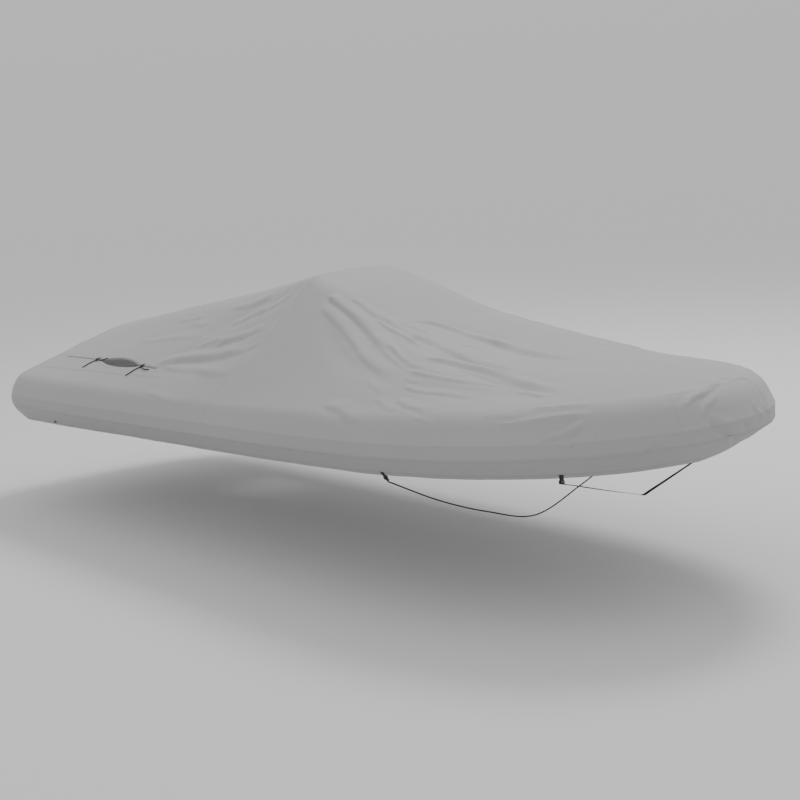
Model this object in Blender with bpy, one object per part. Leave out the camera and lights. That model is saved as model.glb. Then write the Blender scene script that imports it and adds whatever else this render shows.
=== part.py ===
"""Fitted cloth cover for a seven metre rigid inflatable boat, hanging in the shape the boat gives it.

The boat is not built: the cover is a thin, hollow shell of sewn panels.
+X points to the bow, +Y to port and +Z up. The origin is on the underside of the
cloth, at the middle of the crest that the console holds up.

Two numbers place a point on the cloth:
  around  metres along the widest outline, from the middle of the stern to the bow
  across  which strip of the cross-section: 0 to 1 is the flat top, 1 to 2 the hip,
          2 to 3 the sloping side, 3 to 4 the shoulder over the boat's tube and its strake,
          4 to 5 the upright band, 5 to 6 the skirt that turns in to the hem.
A negative across is on the starboard side, a positive one on the port side.
"""
import math

import bmesh
import bpy
import numpy as np
from mathutils import Vector

# Cloth and gaps, metres
CLOTH = 0.003
PIECE_GAP = 0.0003
SEAM_GAP = 0.0006
NOSE_SEAM_GAP = 0.0012
STRAKE_SEAM_GAP = 0.0018
TINY = 1e-9

# Outline of the cover, seen from above
STERN_X = -3.57
STERN_SPINE_X = -2.98
BOW_START_X = 0.93
BOW_SPINE_X = 2.46
BOW_X = 3.427
HALF_BEAM = 1.352
STERN_POWER = 2.5
BOW_POWER = 2.72

# Heights of the outline, and the cross-section below and above it
STRAKE_Z = -0.928
SHEER_SLOPE = 0.022
SHEER_RISE = 0.0056
SHOULDER = 0.186
STRAKE_OUT = 0.020
SHOULDER_SHARE = 0.6
BAND = 0.092
SKIRT_DROP = 0.135
SKIRT_INSET = 0.125
NOSE_LIFT = 0.050
NOSE_LIFT_X = 2.20
NOSE_LIFT_Y = (-0.20, 0.25)
CROWN = 0.022
END_ROUNDING = 0.72
LEAST_SIDE_RUN = 0.06
LEAST_SIDE_RISE = 0.004

# The hip is rounded more the further it is from the crest
HIP_AT_CREST = 0.05
HIP_GROWTH = 0.12
HIP_MOST = 0.30
HIP_SHARE = 0.45

# Top of the tent, from the stern to the crest and from the crest to the bow
RIDGE_COLUMNS = ("x", "z", "half_width")
RIDGE_AFT = (
    (-3.30, -0.588, 0.310),
    (-2.60, -0.465, 0.330),
    (-1.90, -0.345, 0.350),
    (-0.90, -0.188, 0.370),
    (0.00, -0.019, 0.385),
)
RIDGE_FORE = (
    (0.00, -0.019, 0.385),
    (0.40, -0.144, 0.460),
    (0.80, -0.300, 0.580),
    (1.30, -0.472, 0.760),
    (1.80, -0.560, 0.860),
    (2.30, -0.590, 0.800),
    (2.80, -0.595, 0.600),
)

# Main folds. A positive depth is a trough, a negative one a raised roll
FOLD_COLUMNS = ("around", "across", "to_around", "to_across", "half_width", "depth")
FOLDS = (
    # from the starboard end of the crest, down the hip
    (4.86, -1.70, 6.38, -1.95, 0.085, 0.034),
    (4.98, -1.95, 6.30, -2.10, 0.070, -0.018),
    (4.96, -2.10, 6.32, -2.24, 0.080, 0.022),
    (5.00, -1.45, 6.30, -1.18, 0.085, 0.018),
    # forward, across the foredeck
    (6.38, -2.06, 7.52, -2.13, 0.080, 0.018),
    (6.42, -2.36, 7.06, -2.47, 0.070, 0.012),
    (6.25, -1.12, 7.52, -1.74, 0.090, 0.020),
    (6.16, -0.26, 7.28, 0.08, 0.090, 0.012),
    (6.68, -1.10, 7.70, -2.42, 0.085, 0.018),
    # puckers over the shoulder and slack on the flank
    (7.46, -3.78, 7.90, -3.30, 0.060, 0.012),
    (6.63, -2.78, 6.87, -3.77, 0.070, 0.012),
    (5.75, -2.90, 6.30, -3.45, 0.085, 0.014),
    # from the arch slot up to the crest
    (3.50, -2.74, 4.72, -2.50, 0.080, 0.020),
    (3.72, -2.60, 4.64, -2.30, 0.075, 0.016),
    (3.60, -2.30, 4.60, -2.05, 0.085, 0.014),
    # port side
    (4.88, 1.74, 6.20, 2.00, 0.085, 0.030),
    (5.05, 1.45, 6.45, 1.25, 0.085, 0.016),
    (5.02, 2.20, 6.05, 2.45, 0.080, 0.020),
    (6.30, 2.10, 7.40, 2.30, 0.080, 0.016),
    (6.55, 1.05, 7.65, 1.90, 0.090, 0.016),
    (6.20, 2.85, 6.62, 3.60, 0.075, 0.012),
    (3.55, 2.72, 4.66, 2.42, 0.080, 0.018),
    (3.80, 2.45, 4.60, 2.12, 0.080, 0.014),
)
FOLD_REACH = 2.3
FOLD_FADE = 0.6

# A point inside the cover, which tells its outside from its inside
HEART = (-0.3, 0.0, -1.1)

# Where the panels meet
CREST_SEAM_X = -0.10
NOSE_AROUND = 8.30
NOSE_ACROSS = 3.10
STERN_RIBS = 8
AFT_RIBS = 21
FORE_RIBS = 7
BOW_RIBS = 24
TOP_ACROSS = (0.0, 0.5, 1.0, 1.5, 2.0, 2.1667, 2.3333, 2.5, 2.6667, 2.8333, 3.0, 3.2, 3.4, 3.6, 4.0)
SKIRT_ACROSS = (4.0, 5.0, 5.5, 6.0)

# Opening for the roll-bar arch, one each side
SLOT_STRIP_RIBS = (0, 14)
SLOT_STRIP_ACROSS = (2.3333, 2.8333)
SLOT_AROUND = 2.81
SLOT_ACROSS = 2.69
SLOT_DRIFT = 0.085
SLOT_HALF_LENGTH = 0.37
SLOT_HALF_WIDTH = 0.050
SLOT_END_MARGIN = 0.03
RIB_CLEARANCE = 0.02

# Ties that close the slot before and behind the arch
TIE_CORD = 0.008
TIE_REACH = 0.050
KNOT_SIZE = (0.026, 0.020, 0.016)
KNOT_LIFT = 0.0035
KNOT_WAIST = 0.25
KNOT_WAIST_WIDTH = 0.15
TAIL_LIFT = 0.0075
TAIL_CLEAR = 0.004
TAIL_SWAY = 0.012
TAIL_WAVES = 1.3
TAIL_POINTS = 8
TIE_COLUMNS = ("end", "tail", "along", "outboard")
TIE_TAILS = (
    ("aft", "outer", -0.075, 0.125),
    ("aft", "inner", 0.150, -0.022),
    ("fore", "outer", -0.105, 0.120),
    ("fore", "inner", 0.150, 0.030),
)

# Webbing under the hem
WEBBING = 0.025
WEBBING_THICK = 0.002
TAB_ABOVE = 0.035
TAB_BELOW = 0.022
TAB_OFF_HEM = 0.0015
TAB_BEND = 0.005
SLIDER = (0.034, 0.006, 0.026)
SLIDER_EDGE = 0.0012
BOW_TAB_X = 2.92
MID_TAB_X = 1.75
BOW_EYE = (2.70, 0.0, -1.32)
BOW_EYE_HALF_GAP = 0.012
STRAP_LEAD = 0.02
STRAP_PARTS = (0.15, 0.4, 0.7, 1.0)
BELLY_ROUTE = ((1.75, 0.82, -1.325), (1.75, 0.42, -1.480), (1.75, 0.0, -1.590))
BELLY_CORD = 0.009
BELLY_LEAD = 0.018
BELLY_POINTS = 78
HEM_KNOT_AROUND = 2.13
HEM_KNOT_ACROSS = 5.70
HEM_KNOT_SIZE = 0.014
HEM_KNOT_LENGTH = 1.6
HEM_KNOT_LIFT = 0.0008

CLOTH_COLOUR = (0.365, 0.365, 0.368)
SKIRT_COLOUR = (0.350, 0.350, 0.353)
BLACK = (0.012, 0.012, 0.013)

SIDES = (("starboard", -1), ("port", 1))


def clear_scene():
    for item in list(bpy.data.objects):
        bpy.data.objects.remove(item, do_unlink=True)


def material(name, colour, roughness, metallic=0.0):
    made = bpy.data.materials.new(name)
    made.use_nodes = True
    shader = made.node_tree.nodes["Principled BSDF"]
    shader.inputs["Base Color"].default_value = (*colour, 1.0)
    shader.inputs["Roughness"].default_value = roughness
    shader.inputs["Metallic"].default_value = metallic
    made.diffuse_color = (*colour, 1.0)
    return made


def add_object(name, points, faces, finish):
    """Makes an object from points and faces, with coincident points joined and faces turned out."""
    shape = bmesh.new()
    corners = [shape.verts.new(point) for point in points]
    for face in faces:
        shape.faces.new([corners[index] for index in face])
    bmesh.ops.remove_doubles(shape, verts=shape.verts, dist=0.00005)
    shape.normal_update()
    bmesh.ops.recalc_face_normals(shape, faces=shape.faces)
    mesh = bpy.data.meshes.new(name)
    shape.to_mesh(mesh)
    shape.free()
    mesh.materials.append(finish)
    made = bpy.data.objects.new(name, mesh)
    bpy.context.collection.objects.link(made)
    return made


def table_value(table, x, column):
    """A smooth curve through one column of a ridge table."""
    rows = np.array(table, float)
    places = rows[:, 0]
    values = rows[:, RIDGE_COLUMNS.index(column)]
    slopes = np.gradient(values, places)
    x = np.clip(x, places[0], places[-1])
    low = np.clip(np.searchsorted(places, x) - 1, 0, len(places) - 2)
    span = places[low + 1] - places[low]
    part = (x - places[low]) / span
    rest = 1.0 - part
    start = values[low] * (1 + 2 * part) * rest**2 + slopes[low] * span * part * rest**2
    end = values[low + 1] * part**2 * (3 - 2 * part) - slopes[low + 1] * span * rest * part**2
    return start + end


def ridge(x, column):
    return np.where(x < 0.0, table_value(RIDGE_AFT, x, column), table_value(RIDGE_FORE, x, column))


def trace_outline():
    """The port half of the outline: distance around it, its x and y, and the x where its rib starts."""
    turn = np.linspace(0.0, math.pi / 2, 500)
    stern_x = STERN_SPINE_X - (STERN_SPINE_X - STERN_X) * np.cos(turn) ** (2 / STERN_POWER)
    stern_y = HALF_BEAM * np.sin(turn) ** (2 / STERN_POWER)
    side_x = np.linspace(STERN_SPINE_X, BOW_START_X, 300)[1:-1]
    bow_x = BOW_START_X + (BOW_X - BOW_START_X) * np.sin(turn) ** (2 / BOW_POWER)
    bow_y = HALF_BEAM * np.cos(turn)
    bow_spine = BOW_START_X + (BOW_SPINE_X - BOW_START_X) * np.sin(turn)
    x = np.concatenate([stern_x, side_x, bow_x])
    y = np.concatenate([stern_y, np.full_like(side_x, HALF_BEAM), bow_y])
    spine = np.concatenate([np.full_like(stern_x, STERN_SPINE_X), side_x, bow_spine])
    x[0] = STERN_X
    y[0] = 0.0
    y[-1] = 0.0
    steps = np.hypot(np.diff(x), np.diff(y))
    return np.concatenate([[0.0], np.cumsum(steps)]), x, y, spine


OUTLINE = trace_outline()
OUTLINE_LENGTH = float(OUTLINE[0][-1])
AROUND_AT_ZERO = float(np.interp(0.0, OUTLINE[1], OUTLINE[0]))


def around_at_x(x):
    """Distance around the outline at a place on the straight side or the bow."""
    return float(np.interp(x, OUTLINE[1], OUTLINE[0]))


def smooth_cloth(around, across):
    """Points on the outer face of the cloth, before its folds."""
    around, across = np.broadcast_arrays(np.asarray(around, float), np.asarray(across, float))
    side = np.where(across < 0.0, -1.0, 1.0)
    strip = np.minimum(np.abs(across), 6.0)
    zone = np.floor(np.minimum(strip, 5.999999))
    part = strip - zone

    edge_x = np.interp(around, OUTLINE[0], OUTLINE[1])
    edge_y = np.interp(around, OUTLINE[0], OUTLINE[2])
    spine_x = np.interp(around, OUTLINE[0], OUTLINE[3])
    reach = np.hypot(edge_x - spine_x, edge_y)
    out_x = (edge_x - spine_x) / reach
    out_y = edge_y / reach

    strake = STRAKE_Z + SHEER_SLOPE * edge_x + SHEER_RISE * np.maximum(edge_x, 0.0) ** 2
    top = np.maximum(ridge(spine_x, "z"), strake + SHOULDER + LEAST_SIDE_RISE)
    width = ridge(spine_x, "half_width") / np.hypot(out_x / END_ROUNDING, out_y)
    centre = reach - SHOULDER - STRAKE_OUT
    width = np.minimum(width, centre - LEAST_SIDE_RUN)

    # the straight side touches the round shoulder at a tangent
    run = centre - width
    drop = strake - top
    slant = np.hypot(run, drop)
    tangent = np.arctan2(-drop, -run) - np.arccos(SHOULDER / slant)
    touch_r = centre + SHOULDER * np.cos(tangent)
    touch_z = strake + SHOULDER * np.sin(tangent)
    side_length = np.hypot(touch_r - width, touch_z - top)

    # the hip runs from the top to the side on a curve that is level with both
    ease = np.minimum(HIP_AT_CREST + HIP_GROWTH * np.abs(spine_x), HIP_MOST)
    ease = np.minimum(ease, HIP_SHARE * width)
    ease_down = np.minimum(ease, HIP_SHARE * side_length)
    in_r = width - ease
    in_z = top + CROWN * (1 - (in_r / width) ** 2)
    out_r = width + (touch_r - width) * ease_down / side_length
    out_z = top + (touch_z - top) * ease_down / side_length

    # the cloth leaves the shoulder at a tangent too, and runs straight out to the boat's strake
    leave = math.acos(SHOULDER / (SHOULDER + STRAKE_OUT))
    shoulder_turn = tangent + (leave - tangent) * np.minimum(part / SHOULDER_SHARE, 1.0)
    past_shoulder = np.maximum(part - SHOULDER_SHARE, 0.0) / (1.0 - SHOULDER_SHARE)
    shoulder_r = centre + SHOULDER * np.cos(shoulder_turn)
    shoulder_z = strake + SHOULDER * np.sin(shoulder_turn)

    # the hem rides up a little on the port side of the nose
    towards_nose = np.clip((edge_x - NOSE_LIFT_X) / (BOW_X - NOSE_LIFT_X), 0.0, 1.0)
    lift_low, lift_high = NOSE_LIFT_Y
    towards_port = np.clip((side * edge_y - lift_low) / (lift_high - lift_low), 0.0, 1.0)
    skirt_drop = SKIRT_DROP - NOSE_LIFT * towards_nose * towards_port

    rest = 1.0 - part
    zones = [zone == number for number in range(5)]
    radius = np.select(
        zones,
        [
            in_r * part,
            in_r * rest**2 + 2 * width * part * rest + out_r * part**2,
            out_r + (touch_r - out_r) * part,
            shoulder_r + (reach - shoulder_r) * past_shoulder,
            reach,
        ],
        reach - SKIRT_INSET * part,
    )
    height = np.select(
        zones,
        [
            top + CROWN * (1 - (in_r * part / width) ** 2),
            in_z * rest**2 + 2 * top * part * rest + out_z * part**2,
            out_z + (touch_z - out_z) * part,
            shoulder_z + (strake - shoulder_z) * past_shoulder,
            strake - BAND * part,
        ],
        strake - BAND - skirt_drop * part,
    )
    return np.stack([spine_x + radius * out_x, side * radius * out_y, height], -1)


def cloth_normals(around, across):
    """Unit normals of the unfolded cloth, pointing out of the cover."""
    step = 0.002
    before = smooth_cloth(np.maximum(around - step, 0.0), across)
    after = smooth_cloth(np.minimum(around + step, OUTLINE_LENGTH), across)
    sign = np.where(across < 0.0, -1.0, 1.0)
    inner = smooth_cloth(around, sign * np.maximum(np.abs(across) - step, 0.0))
    outer = smooth_cloth(around, sign * np.minimum(np.abs(across) + step, 6.0))
    normal = np.cross(after - before, outer - inner) * sign[..., None]
    length = np.linalg.norm(normal, axis=-1, keepdims=True)
    upright = np.broadcast_to([0.0, 0.0, 1.0], normal.shape)
    return np.where(length > TINY, normal / np.maximum(length, TINY), upright)


def fold_sink(points):
    """How far the folds push each point in, from its distance to each fold's line."""
    sink = np.zeros(len(points))
    for row in FOLDS:
        fold = dict(zip(FOLD_COLUMNS, row))
        steps = np.linspace(0.0, 1.0, 9)
        line = smooth_cloth(
            fold["around"] + (fold["to_around"] - fold["around"]) * steps,
            fold["across"] + (fold["to_across"] - fold["across"]) * steps,
        )
        nearest = np.full(len(points), 1e9)
        along = np.zeros(len(points))
        for index in range(len(line) - 1):
            leg = line[index + 1] - line[index]
            part = np.clip((points - line[index]) @ leg / (leg @ leg), 0.0, 1.0)
            distance = np.linalg.norm(points - line[index] - part[:, None] * leg, axis=1)
            closer = distance < nearest
            nearest = np.where(closer, distance, nearest)
            along = np.where(closer, (index + part) / (len(line) - 1), along)
        profile = np.exp(-((nearest / fold["half_width"]) ** 2))
        profile = np.where(nearest < FOLD_REACH * fold["half_width"], profile, 0.0)
        fade = np.clip(4.0 * along * (1.0 - along), 0.0, 1.0) ** FOLD_FADE
        sink += fold["depth"] * profile * fade
    return sink


def folded_cloth(around, across, lift=0.0):
    """Points on the outer face of the folded cloth, or lifted off it."""
    around, across = np.broadcast_arrays(np.asarray(around, float), np.asarray(across, float))
    points = smooth_cloth(around, across)
    sink = fold_sink(points.reshape(-1, 3)).reshape(around.shape)
    return points + cloth_normals(around, across) * (lift - sink)[..., None]


def rib_places():
    """Distances around the outline at which the cloth has its ribs of points."""
    stern_end = around_at_x(STERN_SPINE_X)
    side_end = around_at_x(BOW_START_X)
    stern = np.linspace(0.0, stern_end, STERN_RIBS + 1)
    aft = np.linspace(stern_end, AROUND_AT_ZERO, AFT_RIBS + 1)
    fore = np.linspace(AROUND_AT_ZERO, side_end, FORE_RIBS + 1)
    bow = np.linspace(side_end, OUTLINE_LENGTH, BOW_RIBS + 1)
    return np.concatenate([stern[:-1], aft[:-1], fore[:-1], bow])


RIBS = rib_places()


def faceted_cloth(around, across, lift):
    """Points on the flat facets between ribs, so that trims lie true on the cloth."""
    low = np.clip(np.searchsorted(RIBS, around, side="right") - 1, 0, len(RIBS) - 2)
    part = ((around - RIBS[low]) / (RIBS[low + 1] - RIBS[low]))[..., None]
    first = folded_cloth(RIBS[low], across)
    second = folded_cloth(RIBS[low + 1], across)
    raised = cloth_normals(around, across) * np.asarray(lift)[..., None]
    return first + (second - first) * part + raised


def panel_faces(rows, columns, first, skipped=()):
    faces = []
    for row in range(rows - 1):
        for column in range(columns - 1):
            if (row, column) in skipped:
                continue
            corner = first + row * columns + column
            faces.append((corner, corner + 1, corner + columns + 1, corner + columns))
    return faces


def sew_panel(name, grids, finish):
    """One cloth panel: sheets of points joined where they meet, then given the cloth's thickness inwards."""
    points = []
    faces = []
    for grid, skipped in grids:
        rows, columns = grid.shape[:2]
        faces += panel_faces(rows, columns, len(points), skipped)
        points += [tuple(point) for point in grid.reshape(-1, 3)]
    panel = add_sheet(name, points, faces, finish)
    thicken = panel.modifiers.new("thickness", "SOLIDIFY")
    thicken.thickness = CLOTH
    thicken.offset = -1.0
    thicken.use_even_offset = False
    return panel


def add_sheet(name, points, faces, finish):
    """An open sheet whose faces all point out of the cover."""
    shape = bmesh.new()
    corners = [shape.verts.new(point) for point in points]
    for face in faces:
        shape.faces.new([corners[index] for index in face])
    bmesh.ops.remove_doubles(shape, verts=shape.verts, dist=0.0001)
    unused = [corner for corner in shape.verts if not corner.link_faces]
    bmesh.ops.delete(shape, geom=unused, context="VERTS")
    shape.normal_update()
    bmesh.ops.recalc_face_normals(shape, faces=shape.faces)
    shape.normal_update()
    heart = Vector(HEART)
    outward = sum((face.calc_center_median() - heart).dot(face.normal) * face.calc_area() for face in shape.faces)
    if outward < 0.0:
        bmesh.ops.reverse_faces(shape, faces=shape.faces)
    mesh = bpy.data.meshes.new(name)
    shape.to_mesh(mesh)
    shape.free()
    mesh.materials.append(finish)
    made = bpy.data.objects.new(name, mesh)
    bpy.context.collection.objects.link(made)
    return made


def grid_points(around, across):
    rows, columns = np.meshgrid(np.asarray(around, float), np.asarray(across, float), indexing="ij")
    return folded_cloth(rows, columns)


def across_for_gap(around, across, gap):
    """Moves an across value by a gap measured on the cloth in metres."""
    step = 0.01
    here = smooth_cloth(around, across)
    there = smooth_cloth(around, across + step * np.sign(across))
    return across + np.sign(across) * gap * step / float(np.linalg.norm(there - here))


def trimmed(values, low, high):
    """The values between two limits, with the limits themselves as the ends."""
    inside = [value for value in values if low + RIB_CLEARANCE < value < high - RIB_CLEARANCE]
    return np.array([low, *inside, high])


def top_grid(places, side, first_across, last_across):
    """Points of one half of a top panel, with its lower edge a seam's gap short of the band."""
    wanted = [value for value in TOP_ACROSS if first_across <= value <= last_across]
    rows = []
    for place in places:
        line = [side * max(value, TINY) for value in wanted]
        if last_across == 4.0:
            line[-1] = across_for_gap(place, side * 4.0, -STRAKE_SEAM_GAP)
        rows.append(line)
    around = np.repeat(np.array(places)[:, None], len(wanted), axis=1)
    return folded_cloth(around, np.array(rows))


def slot_centre(around):
    """Across value of the slot's middle line, which drifts outboard going forward."""
    return SLOT_ACROSS + SLOT_DRIFT * (around - SLOT_AROUND)


def side_length(around):
    """Width of the sloping side strip in metres."""
    return np.linalg.norm(smooth_cloth(around, 3.0) - smooth_cloth(around, 2.0), axis=-1)


def slot_point(along, outboard, side, lift):
    """A place given in metres from the slot's middle, on the facets of the cloth or lifted off them."""
    along = np.asarray(along, float)
    around = SLOT_AROUND + along
    across = slot_centre(around) + np.asarray(outboard, float) / side_length(around)
    return faceted_cloth(around, side * across, np.full_like(around, lift))


def slot_half_width(along, half_length, half_width):
    """The slot is an eye: widest in the middle and closed at both ends."""
    part = np.clip(np.asarray(along, float) / half_length, -1.0, 1.0)
    return half_width * (1.0 - part**2)


def build_top_aft(finish):
    """The aft top, from the stern over the crest seam, with gaps for the two slot strips."""
    seam = AROUND_AT_ZERO + CREST_SEAM_X
    places = trimmed(RIBS, 0.0, seam - SEAM_GAP / 2)
    strip_columns = [TOP_ACROSS.index(value) for value in SLOT_STRIP_ACROSS]
    first_rib = STERN_RIBS + SLOT_STRIP_RIBS[0]
    last_rib = STERN_RIBS + SLOT_STRIP_RIBS[1]
    skipped = {
        (row, column) for row in range(first_rib, last_rib) for column in range(strip_columns[0], strip_columns[1])
    }
    grids = [(top_grid(places, side, 0.0, 4.0), skipped) for _, side in SIDES]
    return sew_panel("top_aft", grids, finish)


def build_top_fore(finish):
    """The fore top, from the crest seam to the bow, where the nose panel takes over its edge."""
    seam = AROUND_AT_ZERO + CREST_SEAM_X
    grids = []
    for _, side in SIDES:
        flank = trimmed(RIBS, seam + SEAM_GAP / 2, NOSE_AROUND - NOSE_SEAM_GAP / 2)
        grids.append((top_grid(flank, side, 0.0, 4.0), ()))
        tip = np.array([NOSE_AROUND - NOSE_SEAM_GAP / 2, *RIBS[RIBS > NOSE_AROUND + RIB_CLEARANCE]])
        wanted = [value for value in TOP_ACROSS if value < NOSE_ACROSS - RIB_CLEARANCE]
        edge = across_for_gap(OUTLINE_LENGTH, NOSE_ACROSS, -NOSE_SEAM_GAP / 2)
        line = np.array([*[max(value, TINY) for value in wanted], edge]) * side
        grids.append((grid_points(tip, line), ()))
    return sew_panel("top_fore", grids, finish)


def build_nose(finish):
    """The cap over the blunt nose, between the fore top and the bow's band."""
    tip = np.array([NOSE_AROUND + NOSE_SEAM_GAP / 2, *RIBS[RIBS > NOSE_AROUND + RIB_CLEARANCE]])
    grids = []
    for _, side in SIDES:
        start = across_for_gap(OUTLINE_LENGTH, NOSE_ACROSS, NOSE_SEAM_GAP / 2)
        inside = [value for value in TOP_ACROSS if NOSE_ACROSS + RIB_CLEARANCE < value < 4.0]
        end = across_for_gap(OUTLINE_LENGTH, 4.0, -STRAKE_SEAM_GAP)
        grids.append((grid_points(tip, np.array([start, *inside, end]) * side), ()))
    return sew_panel("nose_panel", grids, finish)


def build_skirt(name, side, finish):
    """The band and the skirt of one side, from the middle of the stern to the middle of the bow."""
    places = RIBS.copy()
    places[0] = SEAM_GAP / 2
    places[-1] = OUTLINE_LENGTH - SEAM_GAP / 2
    return sew_panel(name, [(grid_points(places, np.array(SKIRT_ACROSS) * side), ())], finish)


def build_slot_strip(name, side, finish):
    """The strip of cloth that holds the arch's opening: one band outboard of the slot, one inboard."""
    ribs = RIBS[STERN_RIBS + SLOT_STRIP_RIBS[0] : STERN_RIBS + SLOT_STRIP_RIBS[1] + 1]
    slot_ends = [SLOT_AROUND - SLOT_HALF_LENGTH, SLOT_AROUND + SLOT_HALF_LENGTH]
    between = (ribs[1:] + ribs[:-1]) / 2
    between = between[np.abs(between - SLOT_AROUND) < SLOT_HALF_LENGTH - SLOT_END_MARGIN]
    strip_ends = [ribs[0] + SEAM_GAP, ribs[-1] - SEAM_GAP]
    places = np.sort(np.concatenate([strip_ends, ribs[1:-1], between, slot_ends]))
    half = slot_half_width(places - SLOT_AROUND, SLOT_HALF_LENGTH, SLOT_HALF_WIDTH) / side_length(places)
    gap = SEAM_GAP / side_length(places)
    centre = slot_centre(places)
    inner_edge, outer_edge = SLOT_STRIP_ACROSS
    grids = []
    for edge, towards in ((inner_edge + gap, centre - half), (outer_edge - gap, centre + half)):
        across = np.stack([edge, (edge + towards) / 2, towards], 1) * side
        around = np.repeat(places[:, None], 3, axis=1)
        grids.append((faceted_cloth(around, across, np.zeros_like(around)), ()))
    return sew_panel(name, grids, finish)


def build_knot(name, centre, size, finish):
    """A tied knot: a squat round lump with its waist drawn in."""
    shape = bmesh.new()
    bmesh.ops.create_uvsphere(shape, u_segments=10, v_segments=6, radius=0.5)
    for corner in shape.verts:
        waist = 1.0 - KNOT_WAIST * math.exp(-((corner.co.x / KNOT_WAIST_WIDTH) ** 2))
        corner.co = Vector((corner.co.x * size[0], corner.co.y * size[1] * waist, corner.co.z * size[2] * waist))
    mesh = bpy.data.meshes.new(name)
    shape.to_mesh(mesh)
    shape.free()
    mesh.materials.append(finish)
    mesh.shade_smooth()
    made = bpy.data.objects.new(name, mesh)
    made.location = centre
    bpy.context.collection.objects.link(made)
    return made


def build_cord(name, points, diameter, finish):
    """A round cord along a line of points, with closed ends."""
    line = bpy.data.curves.new(name, "CURVE")
    line.dimensions = "3D"
    line.bevel_depth = diameter / 2
    line.bevel_resolution = 2
    line.use_fill_caps = True
    spline = line.splines.new("POLY")
    spline.points.add(len(points) - 1)
    for point, place in zip(spline.points, points):
        point.co = (*place, 1.0)
    line.materials.append(finish)
    made = bpy.data.objects.new(name, line)
    bpy.context.collection.objects.link(made)
    return made


def smooth_route(points, count):
    """Evenly spaced points on a smooth curve through a route's own points."""
    points = np.array(points, float)
    padded = np.concatenate([[2 * points[0] - points[1]], points, [2 * points[-1] - points[-2]]])
    dense = []
    for index in range(1, len(padded) - 2):
        before, here, there, after = padded[index - 1 : index + 3]
        for part in np.linspace(0.0, 1.0, 20, endpoint=False):
            bend = 2 * before - 5 * here + 4 * there - after
            twist = 3 * here - before - 3 * there + after
            dense.append(0.5 * (2 * here + (there - before) * part + bend * part**2 + twist * part**3))
    dense.append(points[-1])
    dense = np.array(dense)
    length = np.concatenate([[0.0], np.cumsum(np.linalg.norm(np.diff(dense, axis=0), axis=1))])
    wanted = np.linspace(0.0, length[-1], count)
    return np.stack([np.interp(wanted, length, dense[:, axis]) for axis in range(3)], 1)


def build_ribbon(name, points, widths, thickness, finish):
    """A flat strap along a line of points; widths are half-width vectors, one for each point."""
    points = np.array(points, float)
    widths = np.array(widths, float)
    along = np.gradient(points, axis=0)
    flat = np.cross(along, widths)
    flat *= (thickness / 2) / np.linalg.norm(flat, axis=1)[:, None]
    corners = []
    for point, width, rise in zip(points, widths, flat):
        corners += [point - width - rise, point + width - rise, point + width + rise, point - width + rise]
    faces = [(3, 2, 1, 0)]
    for index in range(len(points) - 1):
        start = index * 4
        for edge in range(4):
            after = (edge + 1) % 4
            faces.append((start + edge, start + after, start + 4 + after, start + 4 + edge))
    last = (len(points) - 1) * 4
    faces.append((last, last + 1, last + 2, last + 3))
    return add_object(name, [tuple(corner) for corner in corners], faces, finish)


def build_ties(name, side, finish):
    """The knots at both ends of a slot and the free tails that lie on the cloth."""
    for end, way in (("aft", -1), ("fore", 1)):
        along = way * (SLOT_HALF_LENGTH + TIE_REACH)
        centre = slot_point(np.array([along]), np.array([0.0]), side, KNOT_SIZE[2] / 2 + KNOT_LIFT)[0]
        build_knot(f"knot_{end}_{name}", tuple(centre), KNOT_SIZE, finish)
        for row in TIE_TAILS:
            tail = dict(zip(TIE_COLUMNS, row))
            if tail["end"] != end:
                continue
            reach = math.hypot(tail["along"], tail["outboard"])
            clear = KNOT_SIZE[0] / 2 + TAIL_CLEAR
            parts = np.linspace(clear / reach, 1.0, 6)
            sway = TAIL_SWAY * np.sin(parts * math.pi * TAIL_WAVES)
            line = slot_point(
                along + tail["along"] * parts - sway * tail["outboard"] / reach,
                tail["outboard"] * parts + sway * tail["along"] / reach,
                side,
                TAIL_LIFT,
            )
            build_cord(f"tail_{end}_{tail['tail']}_{name}", smooth_route(line, TAIL_POINTS), TIE_CORD, finish)


def hem_frame(x, side):
    """At a place on the side: the hem's edge, its outward normal, the way down the skirt and the way forward."""
    around = np.array([around_at_x(x)])
    edge = folded_cloth(around, np.array([6.0 * side]))[0]
    above = folded_cloth(around, np.array([5.6 * side]))[0]
    ahead = folded_cloth(around + 0.05, np.array([6.0 * side]))[0]
    down = (edge - above) / np.linalg.norm(edge - above)
    forward = (ahead - edge) - down * ((ahead - edge) @ down)
    forward /= np.linalg.norm(forward)
    normal = np.cross(forward, down)
    normal /= np.linalg.norm(normal)
    if normal[1] * side < 0.0:
        normal = -normal
    return edge, normal, down, forward


def build_tab(name, x, side, finish):
    """A short webbing tab sewn on the outside of the hem; returns where its slider hangs."""
    edge, normal, down, forward = hem_frame(x, side)
    lift = normal * (TAB_OFF_HEM + WEBBING_THICK / 2)
    line = [edge - down * TAB_ABOVE + lift, edge - down * TAB_BEND + lift, edge + down * TAB_BELOW + lift]
    build_ribbon(name, line, [forward * WEBBING / 2] * 3, WEBBING_THICK, finish)
    return edge + down * (TAB_BELOW + PIECE_GAP) + lift, normal, down, forward


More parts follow.
